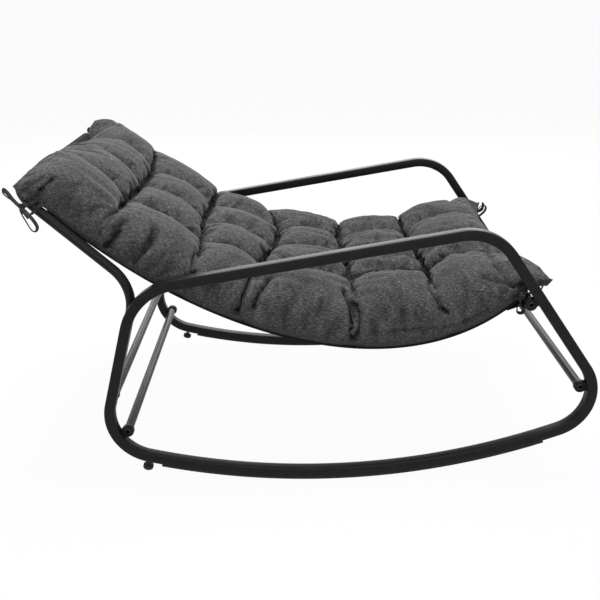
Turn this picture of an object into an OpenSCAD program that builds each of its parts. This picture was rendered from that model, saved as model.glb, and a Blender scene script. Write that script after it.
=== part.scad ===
// Rocking lounge chair: two bent-tube side frames on curved rockers, round cross bars bolted
// between them, a bent back frame, a hung textile sling and a tufted cushion tied on at its corners.
// Millimetres. +X is the front, +Y the sitter's left, +Z up. The origin lies on the floor, midway
// between the rockers, under their lowest point.

/* [Side frames] */
// Outside width of the square side-frame tube
tube = 22; // [20:0.5:25]
// Wall of the square tube
tube_wall = 1.5; // [1.2:0.1:2]
// Distance between the middles of the two side frames
frame_spacing = 660; // [630:2:700]
// Radius of the rockers' centre line
rocker_r = 1492; // [1400:4:1700]
// Height above the floor at which the two legs' places are measured
gauge_z = 300; // [290:1:310]
// Distance of the rear leg behind the origin at that height
rear_leg_back = 396; // [380:1:410]
// Distance of the front leg ahead of the origin at that height
front_leg_ahead = 550; // [540:1:560]
// Forward lean of the rear leg from upright
rear_leg_lean = 13.9; // [12:0.1:16]
// Rake of the front leg from upright
front_leg_rake = 34.7; // [33:0.1:36]
// Height of the arm's centre line above the origin
arm_height = 503; // [490:1:520]
// Upward slope of the arm towards the front
arm_slope = 9.9; // [8:0.1:12]
// Bend radius between rear leg and arm
rear_top_r = 129; // [110:1:135]
// Bend radius between arm and front leg
front_top_r = 107; // [90:1:120]
// Bend radius between front leg and rocker
front_low_r = 97; // [90:1:105]
// Bend radius between rocker and rear leg
rear_low_r = 103; // [95:1:110]

/* [Bolting lugs] */
// Diameter of the round lugs welded inside the side frames
lug_d = 26; // [24:0.5:28]
// Thickness of a lug along the bars
lug_t = 12; // [10:0.5:14]
// How far a lug is sunk into the frame tube's wall
lug_sink = 1; // [0.8:0.1:1.1]
// Width of the web between lug and tube
lug_web = 16; // [12:1:20]
// Height of the front seat bar's centre
seat_bar_z = 403; // [395:1:410]
// Place of the front low bar round its bend, from straight ahead
front_lug_angle = 7.5; // [0:0.5:15]
// Place of the rear low bar round its bend
rear_lug_angle = 211; // [205:1:217]

/* [Cross bars] */
// Diameter of the round cross bars
bar_d = 19; // [18:0.5:20]
// Wall of the cross bars
bar_wall = 1.5; // [1.2:0.1:2]
// Length of the threaded insert in each bar end
insert_len = 26; // [24:1:32]
// Diameter of the bolts
bolt_d = 8; // [7:0.5:8.5]
// Length of the bar bolts under the head
bar_bolt_len = 28; // [24:1:30]
// Diameter of the bar bolts' heads
bolt_head_d = 13; // [12:0.5:14]
// Height of the bar bolts' heads
bolt_head_h = 4.5; // [4:0.1:5]
// Width across the hexagon socket in a bolt head
socket_w = 5; // [4:0.5:6]
// Depth of the hexagon socket
socket_depth = 2.5; // [2:0.1:3]
// Thickness of the washers under the bolt heads
washer_t = 1.2; // [1:0.1:1.5]

/* [Back frame] */
// Diameter of the back frame's round tube
back_d = 20; // [19:0.5:22]
// Wall of the back frame's tube
back_wall = 1.5; // [1.2:0.1:2]
// Height of the corner between the legs and the back of the back frame
back_bend_z = 439; // [434:1:446]
// Recline of the back from upright
back_recline = 47.7; // [45:0.1:50]
// Length of the back from that corner to the middle of the top bar
back_length = 303; // [294:1:312]
// Bend radius at that corner
back_bend_r = 100; // [90:1:108]
// Bend radius at the two top corners
back_corner_r = 45; // [40:1:50]
// Height of the back frame's lower ends
back_low_z = 170; // [165:1:175]
// Height of the spreader bar between the lower ends
spreader_z = 188; // [186:1:194]
// Height of the lower bolt that holds the back frame to a rear leg
back_bolt_low_z = 236; // [230:1:250]
// Height of the upper bolt there
back_bolt_high_z = 340; // [320:1:345]
// Thickness of the spacer between rear leg and back frame
spacer_t = 2; // [1.5:0.1:3]
// Diameter of that spacer
spacer_d = 16; // [14:0.5:18]
// Length of the rivet nuts inside the rear legs
rivet_nut_len = 14; // [12:0.5:16]
// Outside diameter of the rivet nuts
rivet_nut_d = 11; // [10.5:0.1:12]
// Height of the back bolts' round heads
back_head_h = 4; // [3.5:0.1:5]
// Diameter of the back bolts' round heads
back_head_d = 14; // [13:0.5:15]
// Thickness of the flange on the lower tube ends' plugs
plug_flange = 3; // [2:0.5:4]
// Depth of the plugs inside the tube ends
plug_len = 14; // [10:1:18]

/* [Rocker strips and stop feet] */
// Thickness of the grip strip under each rocker
strip_t = 5; // [4:0.5:6]
// Width of the grip strip
strip_w = 20; // [18:0.5:20]
// Where a strip starts behind the origin, as an angle of the rocker
strip_back_angle = 12.4; // [11.6:0.1:12.5]
// Where a strip ends ahead of the origin
strip_front_angle = 19.4; // [18:0.1:19.8]
// Number of push rivets that hold one strip
rivets = 5; // [4:1:6]
// Diameter of a push rivet's body
rivet_d = 5; // [4:0.5:6]
// Diameter of a push rivet's head
rivet_head_d = 9; // [8:0.5:10]
// Thickness of a push rivet's head
rivet_head_t = 1.6; // [1.2:0.1:2]
// Place of a stop foot behind the origin, as an angle of the rocker
foot_angle = 13.5; // [13.4:0.1:13.8]
// Diameter of a stop foot's disc
foot_d = 22; // [20:1:24]
// Thickness of the disc
foot_t = 10; // [8:0.5:12]
// Bare stem between disc and rocker tube
foot_gap = 10; // [9:0.5:12]
// Diameter of the stem
foot_stem_d = 8; // [7:0.5:9]
// Length of stem held in the tube
foot_stem_in = 12; // [11:0.5:13]
// Flange diameter of the foot's rivet nut
foot_nut_flange_d = 15; // [14:0.5:17]
// Flange thickness of that nut
foot_nut_flange_t = 1.2; // [1:0.1:1.5]

/* [Sling] */
// Width of the sling
sling_w = 590; // [560:2:592]
// Thickness of the sling cloth
sling_t = 2; // [1.5:0.1:2.5]
// Forward reach of the sling curve's upper handle
sling_back_run = 275; // [260:1:290]
// Drop of that handle
sling_back_drop = 299; // [285:1:310]
// Backward reach of the sling curve's lower handle
sling_front_run = 258; // [248:1:268]
// Drop of that handle
sling_front_drop = 258; // [248:1:268]

/* [Cushion] */
// How far the cushion reaches past the sling on each side
cushion_lap = 1; // [0:0.5:3]
// Height of the thickest seat pillows above the sling
cushion_t = 136; // [120:1:140]
// Height of the head pillows above the sling
head_t = 106; // [95:1:115]
// Height of the sewn tufts above the sling
tuft_t = 60; // [48:1:68]
// Height of the side seam above the sling
seam_t = 16; // [12:1:26]
// Pillows along the cushion
pillow_rows = 6; // [5:1:7]
// Pillows across the cushion
pillow_cols = 4; // [3:1:5]
// How far the edge is drawn in at each row of tufts
edge_draw = 10; // [6:1:16]
// How strongly the rows of tufts crowd towards the head
row_lean = 0.06; // [0:0.01:0.1]
// Length of cushion past the top bar
cushion_over_back = 16; // [10:1:24]
// Radius at which the cushion rolls over the seat bar
front_roll_r = 60; // [50:1:70]
// Turn of the cushion over the seat bar
front_roll_turn = 50; // [40:1:55]

/* [Ties] */
// Diameter of the tie cords
tie_d = 6; // [5:0.5:6]

/* [Hidden] */

// Clearances
bolt_play = 0.2;      // round a bolt in a plain hole
thread_play = 0.05;   // round a thread in its nut or insert
seat_play = 0.2;      // between a coped or curved seat and its tube
strip_play = 0.05;    // between a grip strip and its rocker
sleeve_play = 0.3;    // between a sling sleeve and its bar
cushion_play = 0.8;   // between cushion and sling
cut = 1;              // how far a cutting tool runs past a face
fine = 64;            // sides of small circles
bend_step = 6;        // degrees between points round a bend
rocker_step = 0.75;   // degrees between points along a rocker

frame_y = frame_spacing / 2;
inner_y = frame_y - tube / 2;
outer_y = frame_y + tube / 2;
rocker_c = [0, strip_t + tube / 2 + rocker_r];

// Plane geometry of a side frame: points are [x, z], angles turn from +X towards +Z
function dir(a) = [cos(a), sin(a)];
function dot(a, b) = a[0] * b[0] + a[1] * b[1];
function meet(p, a, q, b) = p + dir(a) * cross(q - p, dir(b)) / cross(dir(a), dir(b));
function along_z(p, a, z) = p + dir(a) * (z - p[1]) / sin(a);
function angle_of(v) = atan2(v[1], v[0]);
// Distance along a leg to the bend centre whose circle touches the rocker from inside
function low_bend(p, a, r, way) =
    let (q = p + r * dir(a - 90), w = q - rocker_c, b = dot(w, dir(a)),
         c = dot(w, w) - pow(rocker_r - r, 2))
    q + dir(a) * (-b + way * sqrt(b * b - c));

rear_a = 90 - rear_leg_lean;
arm_a = arm_slope;
front_a = front_leg_rake - 90;
rear_p = [-rear_leg_back, gauge_z];
arm_p = [0, arm_height];
front_p = [front_leg_ahead, gauge_z];

rear_corner = meet(rear_p, rear_a, arm_p, arm_a);
front_corner = meet(arm_p, arm_a, front_p, front_a);
rear_top_run = rear_top_r * tan((rear_a - arm_a) / 2);
front_top_run = front_top_r * tan((arm_a - front_a) / 2);
rear_top_c = rear_corner - rear_top_run * dir(rear_a) + rear_top_r * dir(rear_a - 90);
front_top_c = front_corner - front_top_run * dir(arm_a) + front_top_r * dir(arm_a - 90);
front_low_c = low_bend(front_p, front_a, front_low_r, 1);
rear_low_c = low_bend(rear_p, rear_a, rear_low_r, -1);
front_low_a = angle_of(front_low_c - rocker_c);
rear_low_a = angle_of(rear_low_c - rocker_c);

// Centres of the three lugs, which are also the centres of the three bolted bars
lug_off = tube / 2 + lug_d / 2 - lug_sink;
seat_leg_p = along_z(front_p, front_a, seat_bar_z - lug_off * sin(front_a - 90));
seat_bar_p = seat_leg_p + lug_off * dir(front_a - 90);
front_bar_p = front_low_c + (front_low_r - lug_off) * dir(front_lug_angle);
rear_bar_p = rear_low_c + (rear_low_r - lug_off) * dir(rear_lug_angle);
// Each lug: centre and the direction from it to the frame's tube
lugs = [[seat_bar_p, front_a + 90], [front_bar_p, front_lug_angle], [rear_bar_p, rear_lug_angle]];

bolt_hole_d = bolt_d + 2 * bolt_play;
thread_hole_d = bolt_d + 2 * thread_play;
head_hole_d = bolt_head_d + 4 * bolt_play;
head_hole_depth = bolt_head_h + washer_t;

// Back frame: it follows the rear leg's line, then bends back
back_a = 90 + back_recline;
back_y = inner_y - spacer_t - back_d / 2;
back_corner = along_z(rear_p, rear_a, back_bend_z);
back_run = back_bend_r * tan((back_a - rear_a) / 2);
back_bend_c = back_corner - back_run * dir(rear_a) + back_bend_r * dir(rear_a + 90);
back_low_p = along_z(rear_p, rear_a, back_low_z);
back_bend_start = back_corner - back_run * dir(rear_a);
back_bend_end = back_corner + back_run * dir(back_a);
back_top_start = back_corner + (back_length - back_corner_r) * dir(back_a);
top_bar_p = back_corner + back_length * dir(back_a);
spreader_p = along_z(rear_p, rear_a, spreader_z);
back_bolt_ps = [for (z = [back_bolt_low_z, back_bolt_high_z]) along_z(rear_p, rear_a, z)];

// Rocker strip and stop foot
strip_r = rocker_r + tube / 2;
strip_back_a = -90 - strip_back_angle;
strip_front_a = strip_front_angle - 90;
foot_p = rocker_c + strip_r * dir(-90 - foot_angle);
foot_stem_hole_d = foot_stem_d + 2 * thread_play;
foot_nut_d = foot_stem_d + 3;

// Sling curve: a cubic from the top bar to the seat bar
sleeve_in = sleeve_play;
sling_back_r = back_d / 2 + sleeve_in;
sling_front_r = bar_d / 2 + sleeve_in;
sling_start_n = [sling_back_drop, sling_back_run] / norm([sling_back_drop, sling_back_run]);
sling_end_n = [-sling_front_drop, sling_front_run] / norm([sling_front_drop, sling_front_run]);
sling_0 = top_bar_p + sling_back_r * sling_start_n;
sling_3 = seat_bar_p + sling_front_r * sling_end_n;
sling_1 = sling_0 + [sling_back_run, -sling_back_drop];
sling_2 = sling_3 - [sling_front_run, sling_front_drop];
sling_steps = 40;
// The sling's two upper corners are cut away round the back frame's bends
notch_r = back_corner_r + back_d;
notch_y = back_y - back_corner_r - sling_t;
function sling_at(t) = pow(1 - t, 3) * sling_0 + 3 * pow(1 - t, 2) * t * sling_1
    + 3 * (1 - t) * t * t * sling_2 + pow(t, 3) * sling_3;
function sling_speed(t) = 3 * pow(1 - t, 2) * (sling_1 - sling_0)
    + 6 * (1 - t) * t * (sling_2 - sling_1) + 3 * t * t * (sling_3 - sling_2);
function turn_left(v) = [-v[1], v[0]] / norm(v);
function sling_side(t, h) = sling_at(t) + h * turn_left(sling_speed(t));

// Cushion: it lies on the sling, runs on past the top bar and rolls over the seat bar
cushion_w = sling_w + 2 * cushion_lap;
roll_len = front_roll_r * front_roll_turn * PI / 180;
t_back = -cushion_over_back / norm(sling_speed(0));
t_front = 1 + roll_len / norm(sling_speed(1));
function roll_angle(t) = (t - 1) / (t_front - 1) * front_roll_turn;
function base_heading(t) = t < 0 ? angle_of(sling_speed(0))
    : t > 1 ? angle_of(sling_speed(1)) - roll_angle(t) : angle_of(sling_speed(t));
function base_at(t) = t < 0 ? sling_at(0) + t * sling_speed(0)
    : t > 1 ? sling_at(1) + front_roll_r * (dir(base_heading(1) - 90 - roll_angle(t) + 180)
        - dir(base_heading(1) + 90))
    : sling_at(t);
// The cushion's underside clears the cloth, and the thicker sleeves at both ends
sleeve_reach = 0.04;
function near_end(t) = exp(-pow(t / sleeve_reach, 2));
function base_lift(t) = sling_t / 2 + cushion_play + sling_t * (near_end(t) + near_end(1 - t));
function cushion_point(t, y, h) =
    let (a = base_heading(t), p = base_at(t) + (base_lift(t) + h) * dir(a + 90))
    [p[0], y, p[1]];
row_steps = 5;
col_steps = 4;
rows = pillow_rows * row_steps;
cols = pillow_cols * col_steps;
// Nearness to a row or column of tufts: 1 on it, 0 midway
function near_seam(k, steps) = pow(abs(cos(180 * k / steps)), 6);
// Grid lines lie evenly, but the first and last inside lines hug the rim, where the wall is steep
rim_step = 0.4;
function line(k, n) = k == 1 ? rim_step : k == n - 1 ? n - rim_step : k;
// Roundness towards the rim: 0 at the rim, 1 inside
rim_power = 14;
function rim(f) = sqrt(1 - pow(abs(2 * f - 1), rim_power));
function round_in(i, j) = rim(line(i, rows) / rows) * rim(line(j, cols) / cols);
// The pillows grow from the head to the seat and fall a little again at the knees
crown_turn = 120;
function crown(i) = head_t + (cushion_t - head_t) * pow(sin(crown_turn * i / rows), 2);
// Shares of a tuft's depth that lie in the tuft alone and along each line of tufts
tuft_share = 0.6;
seam_share = 0.14;
function pillow_h(i, j) =
    let (a = near_seam(line(i, rows), row_steps), b = near_seam(line(j, cols), col_steps))
    crown(i) - (crown(i) - tuft_t) * (tuft_share * a * b + seam_share * (a + b));
function top_h(i, j) = seam_t + (pillow_h(i, j) - seam_t) * round_in(i, j);
function low_h(i, j) = seam_t * (1 - round_in(i, j));
// The edge is drawn in at each seam and stands out between, with pointed corners
function on_rim(k, n) = k == 0 || k == n;
function side_y(i, j) = let (half = cushion_w / 2
    - (on_rim(i, rows) ? 0 : edge_draw * near_seam(i, row_steps))) half * (2 * line(j, cols) / cols - 1);
function row_t(i, j) = let (draw = on_rim(j, cols) ? 0 : edge_draw * near_seam(j, col_steps)
    / norm(sling_speed(0)), f = line(i, rows) / rows)
    t_back + draw + (t_front - t_back - 2 * draw) * (f - row_lean * f * sin(180 * f));
function grid_id(i, j) = i * (cols + 1) + j;
// Inside points of the underside come after the whole top grid
function low_id(i, j) = on_rim(i, rows) || on_rim(j, cols) ? grid_id(i, j)
    : (rows + 1) * (cols + 1) + (i - 1) * (cols - 1) + j - 1;

// Two triangles of a grid cell, cut along the diagonal that points to the cushion's middle
function split(a, b, c, d, other) = other ? [[a, b, d], [b, c, d]] : [[a, b, c], [a, c, d]];
function turned(i, j) = (i < rows / 2) != (j < cols / 2);
function cell(i, j) = split(grid_id(i, j), grid_id(i, j + 1), grid_id(i + 1, j + 1), grid_id(i + 1, j),
    turned(i, j));
function under_cell(i, j) = split(low_id(i, j), low_id(i + 1, j), low_id(i + 1, j + 1), low_id(i, j + 1),
    turned(i, j));

// Hand-chosen routes of the tie cords, in the left side's places; the right side mirrors them
tie_back_route = [
    [-535, 262, 645], [-537, 284, 632], [-533, 301, 618], [-535, 316, 615], [-545, 322, 606],
    [-555, 315, 597], [-557, 301, 597], [-549, 292, 608], [-542, 297, 619], [-541, 310, 623],
    [-548, 323, 622], [-559, 331, 622], [-572, 333, 625], [-586, 333, 634], [-598, 332, 644],
    [-597, 335, 653], [-588, 338, 647], [-578, 340, 634], [-566, 341, 621], [-554, 341, 608],
    [-543, 341, 593], [-537, 340, 579], [-541, 340, 570], [-549, 340, 573], [-556, 341, 588],
    [-562, 345, 605], [-563, 350, 617], [-555, 350, 611], [-548, 350, 600]
];
// Both front ties leave the cushion and go once round the seat bar, then each is tied its own way
tie_wrap_route = [
    [484, 254, 458], [488, 279, 434], [476, 297, 420], [459, 301, 418], [447, 302, 419],
    [436, 302, 412], [434, 302, 399], [442, 302, 389], [455, 303, 387], [466, 305, 395],
    [467, 309, 409]
];
tie_front_left_route = concat(tie_wrap_route, [
    [474, 309, 415], [482, 308, 423], [490, 306, 433], [499, 304, 438], [505, 303, 431],
    [501, 302, 420], [491, 302, 410], [481, 303, 402], [476, 304, 390], [479, 305, 378],
    [486, 305, 375], [491, 306, 384], [487, 309, 396], [482, 312, 406], [474, 313, 398]
]);
tie_front_right_route = concat(tie_wrap_route, [
    [458, 311, 419], [446, 311, 422], [434, 311, 422], [424, 311, 425], [416, 312, 419],
    [421, 313, 412], [431, 314, 411], [433, 314, 402], [427, 314, 391], [428, 314, 381],
    [437, 314, 379], [441, 314, 386], [436, 316, 394]
]);
tie_sides = 8;
back_sides = 20;
tube_steps = 9;

// Rings of a tube swept along a route
function unit(v) = v / norm(v);
function route_dir(r, k) = unit(r[min(k + 1, len(r) - 1)] - r[max(k - 1, 0)]);
function side_axis(d, old) = unit(old - d * (old * d));
function axes_from(r, k, old) = k >= len(r) ? []
    : let (a = side_axis(route_dir(r, k), old)) concat([a], axes_from(r, k + 1, a));

module along_y(y0, y1) {
    translate([0, y1, 0]) rotate([90, 0, 0]) linear_extrude(y1 - y0) children();
}
module rod_y(p, d, y0, y1) {
    translate([p[0], y1, p[1]]) rotate([90, 0, 0]) cylinder(d = d, h = y1 - y0, $fn = fine);
}
module rod_xz(p, q, y, d) {
    run = q - p;
    translate([p[0], y, p[1]]) rotate([0, 90 - angle_of(run), 0])
        cylinder(d = d, h = norm(run), $fn = fine);
}
module both_sides() {
    children();
    mirror([0, 1, 0]) children();
}
module on_side(side) {
    mirror([0, side < 0 ? 1 : 0, 0]) children();
}

// Outline of the side frame's centre line pushed outwards by off, run once round clockwise
function arc(c, r, a0, a1, step) = let (n = ceil(abs(a1 - a0) / step))
    [for (k = [0 : n]) c + r * dir(a0 + (a1 - a0) * k / n)];
function frame_outline(off) = concat(
    arc(rear_top_c, rear_top_r + off, rear_a + 90, arm_a + 90, bend_step),
    arc(front_top_c, front_top_r + off, arm_a + 90, front_a + 90, bend_step),
    arc(front_low_c, front_low_r + off, front_a + 90, front_low_a, bend_step),
    arc(rocker_c, rocker_r + off, front_low_a, rear_low_a, rocker_step),
    arc(rear_low_c, rear_low_r + off, rear_low_a + 360, rear_a + 90, bend_step));
module frame_band(w) {
    difference() {
        polygon(frame_outline(w / 2));
        polygon(frame_outline(-w / 2));
    }
}
module lug_shape(p, a) {
    rod_y(p, lug_d, inner_y, inner_y + lug_t);
    along_y(inner_y, inner_y + lug_t - head_hole_depth)
        translate(p) rotate(a) translate([0, -lug_web / 2]) square([lug_off - tube / 2 + lug_sink, lug_web]);
}
module lug_bore(p) {
    rod_y(p, bolt_hole_d, inner_y - cut, inner_y + lug_t + cut);
    rod_y(p, head_hole_d, inner_y + lug_t - head_hole_depth, inner_y + lug_t + cut);
}
module at_rocker(angle) {
    translate([rocker_c[0], frame_y, rocker_c[1]]) rotate([0, angle, 0]) children();
}
module side_frame(side) {
    color("#26272a") on_side(side) difference() {
        union() {
            difference() {
                along_y(inner_y, outer_y) frame_band(tube);
                along_y(inner_y + tube_wall, outer_y - tube_wall) frame_band(tube - 2 * tube_wall);
            }
            for (l = lugs) lug_shape(l[0], l[1]);
        }
        for (l = lugs) lug_bore(l[0]);
        for (p = back_bolt_ps)
            rod_y(p, rivet_nut_d + 2 * bolt_play, inner_y - cut, inner_y + tube_wall + cut);
        at_rocker(foot_angle) translate([0, 0, -strip_r - cut])
            cylinder(d = foot_nut_d + 2 * bolt_play, h = tube_wall + 2 * cut, $fn = fine);
        for (k = [1 : rivets]) at_rocker(rivet_angle(k)) translate([0, 0, -strip_r - cut])
            cylinder(d = rivet_d + 2 * bolt_play, h = tube_wall + 2 * cut, $fn = fine);
    }
}
module side_frame_right() { side_frame(-1); }
module side_frame_left() { side_frame(1); }

module cross_bar(p) {
    color("#55565a") difference() {
        rod_y(p, bar_d, -inner_y, inner_y);
        rod_y(p, bar_d - 2 * bar_wall, -inner_y - cut, inner_y + cut);
    }
}
module front_seat_bar() { cross_bar(seat_bar_p); }
module front_low_bar() { cross_bar(front_bar_p); }
module rear_low_bar() { cross_bar(rear_bar_p); }
module bar_inserts() {
    color("#8c8d90") both_sides() for (l = lugs) difference() {
        rod_y(l[0], bar_d - 2 * bar_wall - 2 * thread_play, inner_y - insert_len, inner_y);
        rod_y(l[0], thread_hole_d, inner_y - insert_len - cut, inner_y + cut);
    }
}
head_y = inner_y + lug_t - head_hole_depth + washer_t;
module socket(p, y) {
    translate([p[0], y, p[1]]) rotate([90, 0, 0])
        cylinder(d = socket_w / cos(30), h = socket_depth, $fn = 6);
}
module bar_bolts() {
    color("#1c1c1e") both_sides() for (l = lugs) difference() {
        union() {
            rod_y(l[0], bolt_d, head_y - bar_bolt_len, head_y);
            rod_y(l[0], bolt_head_d, head_y, head_y + bolt_head_h);
        }
        translate([0, cut, 0]) socket(l[0], head_y + bolt_head_h);
        socket(l[0], head_y + bolt_head_h);
    }
}
module bar_washers() {
    color("#8c8d90") both_sides() for (l = lugs) difference() {
        rod_y(l[0], bolt_head_d, head_y - washer_t, head_y);
        rod_y(l[0], bolt_hole_d, head_y - washer_t - cut, head_y + cut);
    }
}

// Route of the back frame's tube: up one leg, back, across the top and down the other side
function at_y(points, y) = [for (p = points) [p[0], y, p[1]]];
function corner_arc() = [for (k = [0 : tube_steps])
    let (a = 90 * k / tube_steps, p = back_top_start + back_corner_r * sin(a) * dir(back_a))
    [p[0], back_y - back_corner_r * (1 - cos(a)), p[1]]];
back_half = concat(
    at_y([back_low_p], back_y),
    at_y(arc(back_bend_c, back_bend_r, rear_a - 90, back_a - 90, bend_step), back_y),
    corner_arc());
back_route = concat(back_half,
    [for (k = [len(back_half) - 1 : -1 : 0]) [back_half[k][0], -back_half[k][1], back_half[k][2]]]);
module back_frame() {
    color("#26272a") difference() {
        hollow_tube(back_route, back_d, back_d - 2 * back_wall, back_sides);
        both_sides() for (p = back_bolt_ps) rod_y(p, bolt_hole_d, back_y - back_d, back_y + back_d);
    }
}
module back_spreader() {
    color("#55565a") difference() {
        rod_y(spreader_p, bar_d, -back_y, back_y);
        rod_y(spreader_p, bar_d - 2 * bar_wall, -back_y - cut, back_y + cut);
        both_sides() rod_xz(spreader_p - bar_d * dir(rear_a), spreader_p + bar_d * dir(rear_a), back_y,
            back_d + seat_play);
    }
}
module back_plugs() {
    color("#1c1c1e") both_sides() {
        rod_xz(back_low_p - plug_flange * dir(rear_a), back_low_p, back_y, back_d);
        rod_xz(back_low_p, back_low_p + plug_len * dir(rear_a), back_y,
            (back_d - 2 * back_wall) * cos(180 / back_sides) - 2 * thread_play);
    }
}
// A spacer is flat on the leg and hollowed to the round tube
module back_spacers() {
    color("#1c1c1e") both_sides() for (p = back_bolt_ps) difference() {
        rod_y(p, spacer_d, back_y, inner_y);
        rod_y(p, bolt_hole_d, back_y - cut, inner_y + cut);
        rod_xz(p - spacer_d * dir(rear_a), p + spacer_d * dir(rear_a), back_y, back_d + seat_play);
    }
}
back_head_y = back_y - back_d / 2 - seat_play;
module back_bolts() {
    color("#1c1c1e") both_sides() for (p = back_bolt_ps) difference() {
        union() {
            rod_y(p, bolt_d, back_head_y, inner_y + tube_wall + rivet_nut_len);
            rod_y(p, back_head_d, back_head_y - back_head_h, back_head_y);
        }
        translate([0, socket_depth - back_head_h, 0]) socket(p, back_head_y);
        translate([0, socket_depth - back_head_h - cut, 0]) socket(p, back_head_y);
    }
}
module back_rivet_nuts() {
    color("#8c8d90") both_sides() for (p = back_bolt_ps) difference() {
        rod_y(p, rivet_nut_d, inner_y, inner_y + tube_wall + rivet_nut_len);
        rod_y(p, thread_hole_d, inner_y - cut, inner_y + tube_wall + rivet_nut_len + cut);
    }
}

// Grip strip under a rocker, its push rivets and the stop foot behind it
strip_span = strip_back_angle + strip_front_angle;
function rivet_angle(k) = strip_back_angle - strip_span * (k - 0.5) / rivets;
module grip_strip(side) {
    color("#161617") on_side(side) difference() {
        along_y(frame_y - strip_w / 2, frame_y + strip_w / 2) polygon(concat(
            arc(rocker_c, strip_r + strip_play, strip_back_a, strip_front_a, rocker_step),
            arc(rocker_c, strip_r + strip_t, strip_front_a, strip_back_a, rocker_step)));
        for (k = [1 : rivets]) at_rocker(rivet_angle(k)) translate([0, 0, -strip_r - strip_t - cut]) {
            cylinder(d = rivet_d + 2 * bolt_play, h = strip_t + 2 * cut, $fn = fine);
            cylinder(d = rivet_head_d + 2 * bolt_play, h = 2 * rivet_head_t + cut, $fn = fine);
        }
    }
}
module grip_strip_right() { grip_strip(-1); }
module grip_strip_left() { grip_strip(1); }
module strip_rivets() {
    color("#1c1c1e") both_sides() for (k = [1 : rivets])
        at_rocker(rivet_angle(k)) translate([0, 0, -strip_r - strip_t + rivet_head_t]) {
            cylinder(d = rivet_head_d, h = rivet_head_t, $fn = fine);
            cylinder(d = rivet_d, h = strip_t - rivet_head_t + tube_wall + rivet_head_t, $fn = fine);
        }
}
module stop_foot(side) {
    color("#1c1c1e") on_side(side) at_rocker(foot_angle) translate([0, 0, -strip_r]) {
        translate([0, 0, -foot_gap]) cylinder(d = foot_stem_d, h = foot_gap + foot_stem_in, $fn = fine);
        translate([0, 0, -foot_gap - foot_t]) cylinder(d = foot_d, h = foot_t, $fn = fine);
    }
}
module stop_foot_right() { stop_foot(-1); }
module stop_foot_left() { stop_foot(1); }
module foot_nuts() {
    color("#8c8d90") both_sides() at_rocker(foot_angle) translate([0, 0, -strip_r]) difference() {
        union() {
            cylinder(d = foot_nut_d, h = foot_stem_in, $fn = fine);
            translate([0, 0, -foot_nut_flange_t])
                cylinder(d = foot_nut_flange_d, h = foot_nut_flange_t, $fn = fine);
        }
        translate([0, 0, -foot_nut_flange_t - cut])
            cylinder(d = foot_stem_hole_d, h = foot_stem_in + foot_nut_flange_t + 2 * cut, $fn = fine);
    }
}

module sling() {
    over = [for (k = [0 : sling_steps]) sling_side(k / sling_steps, sling_t / 2)];
    under = [for (k = [sling_steps : -1 : 0]) sling_side(k / sling_steps, -sling_t / 2)];
    half = sling_w / 2;
    color("#1f2022") difference() {
        union() {
            along_y(-half, half) polygon(concat(over, under));
            rod_y(top_bar_p, 2 * (sling_back_r + sling_t), -half, half);
            rod_y(seat_bar_p, 2 * (sling_front_r + sling_t), -half, half);
        }
        rod_y(top_bar_p, 2 * sling_back_r, -half - cut, half + cut);
        rod_y(seat_bar_p, 2 * sling_front_r, -half - cut, half + cut);
        both_sides() rod_y(top_bar_p, 2 * notch_r, notch_y, half + cut);
    }
}

module cushion() {
    top = [for (i = [0 : rows], j = [0 : cols]) cushion_point(row_t(i, j), side_y(i, j), top_h(i, j))];
    low = [for (i = [1 : rows - 1], j = [1 : cols - 1])
        cushion_point(row_t(i, j), side_y(i, j), low_h(i, j))];
    faces = [for (i = [0 : rows - 1], j = [0 : cols - 1]) each cell(i, j)];
    low_faces = [for (i = [0 : rows - 1], j = [0 : cols - 1]) each under_cell(i, j)];
    color("#57585a") polyhedron(concat(top, low), concat(faces, low_faces));
}

// Points of a tube along a route, ring by ring, and the faces between its rings
function tube_points(route, d, sides) =
    let (ups = axes_from(route, 0, side_axis(route_dir(route, 0), [0.3, 0.2, 1])))
    [for (k = [0 : len(route) - 1], s = [0 : sides - 1])
        let (a = 360 * s / sides, w = cross(route_dir(route, k), ups[k]))
        route[k] + d / 2 * (cos(a) * ups[k] + sin(a) * w)];
function tube_walls(n, sides, base, out) = [for (k = [0 : n - 2], s = [0 : sides - 1], half = [0, 1])
    let (b = base + k * sides, e = (s + 1) % sides,
        f = half == 0 ? [b + s, b + sides + s, b + sides + e] : [b + s, b + sides + e, b + e])
    out ? f : [f[2], f[1], f[0]]];
function ring_end(b, c, sides, out) = [for (s = [0 : sides - 1], half = [0, 1])
    let (e = (s + 1) % sides, f = half == 0 ? [b + s, b + e, c + e] : [b + s, c + e, c + s])
    out ? f : [f[2], f[1], f[0]]];
module swept(route, d) {
    n = len(route);
    start = [for (s = [0 : tie_sides - 1]) s];
    finish = [for (s = [tie_sides - 1 : -1 : 0]) (n - 1) * tie_sides + s];
    polyhedron(tube_points(route, d, tie_sides), concat(tube_walls(n, tie_sides, 0, true), [start, finish]));
}
module hollow_tube(route, d_out, d_in, sides) {
    n = len(route);
    all = n * sides;
    polyhedron(concat(tube_points(route, d_out, sides), tube_points(route, d_in, sides)), concat(
        tube_walls(n, sides, 0, true), tube_walls(n, sides, all, false),
        ring_end(0, all, sides, true), ring_end(all - sides, 2 * all - sides, sides, false)));
}
module tie(side, route) {
    color("#4a4b4d") on_side(side) swept(route, tie_d);
}
module tie_back_right() { tie(-1, tie_back_route); }
module tie_back_left() { tie(1, tie_back_route); }
module tie_front_right() { tie(-1, tie_front_right_route); }
module tie_front_left() { tie(1, tie_front_left_route); }

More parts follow.
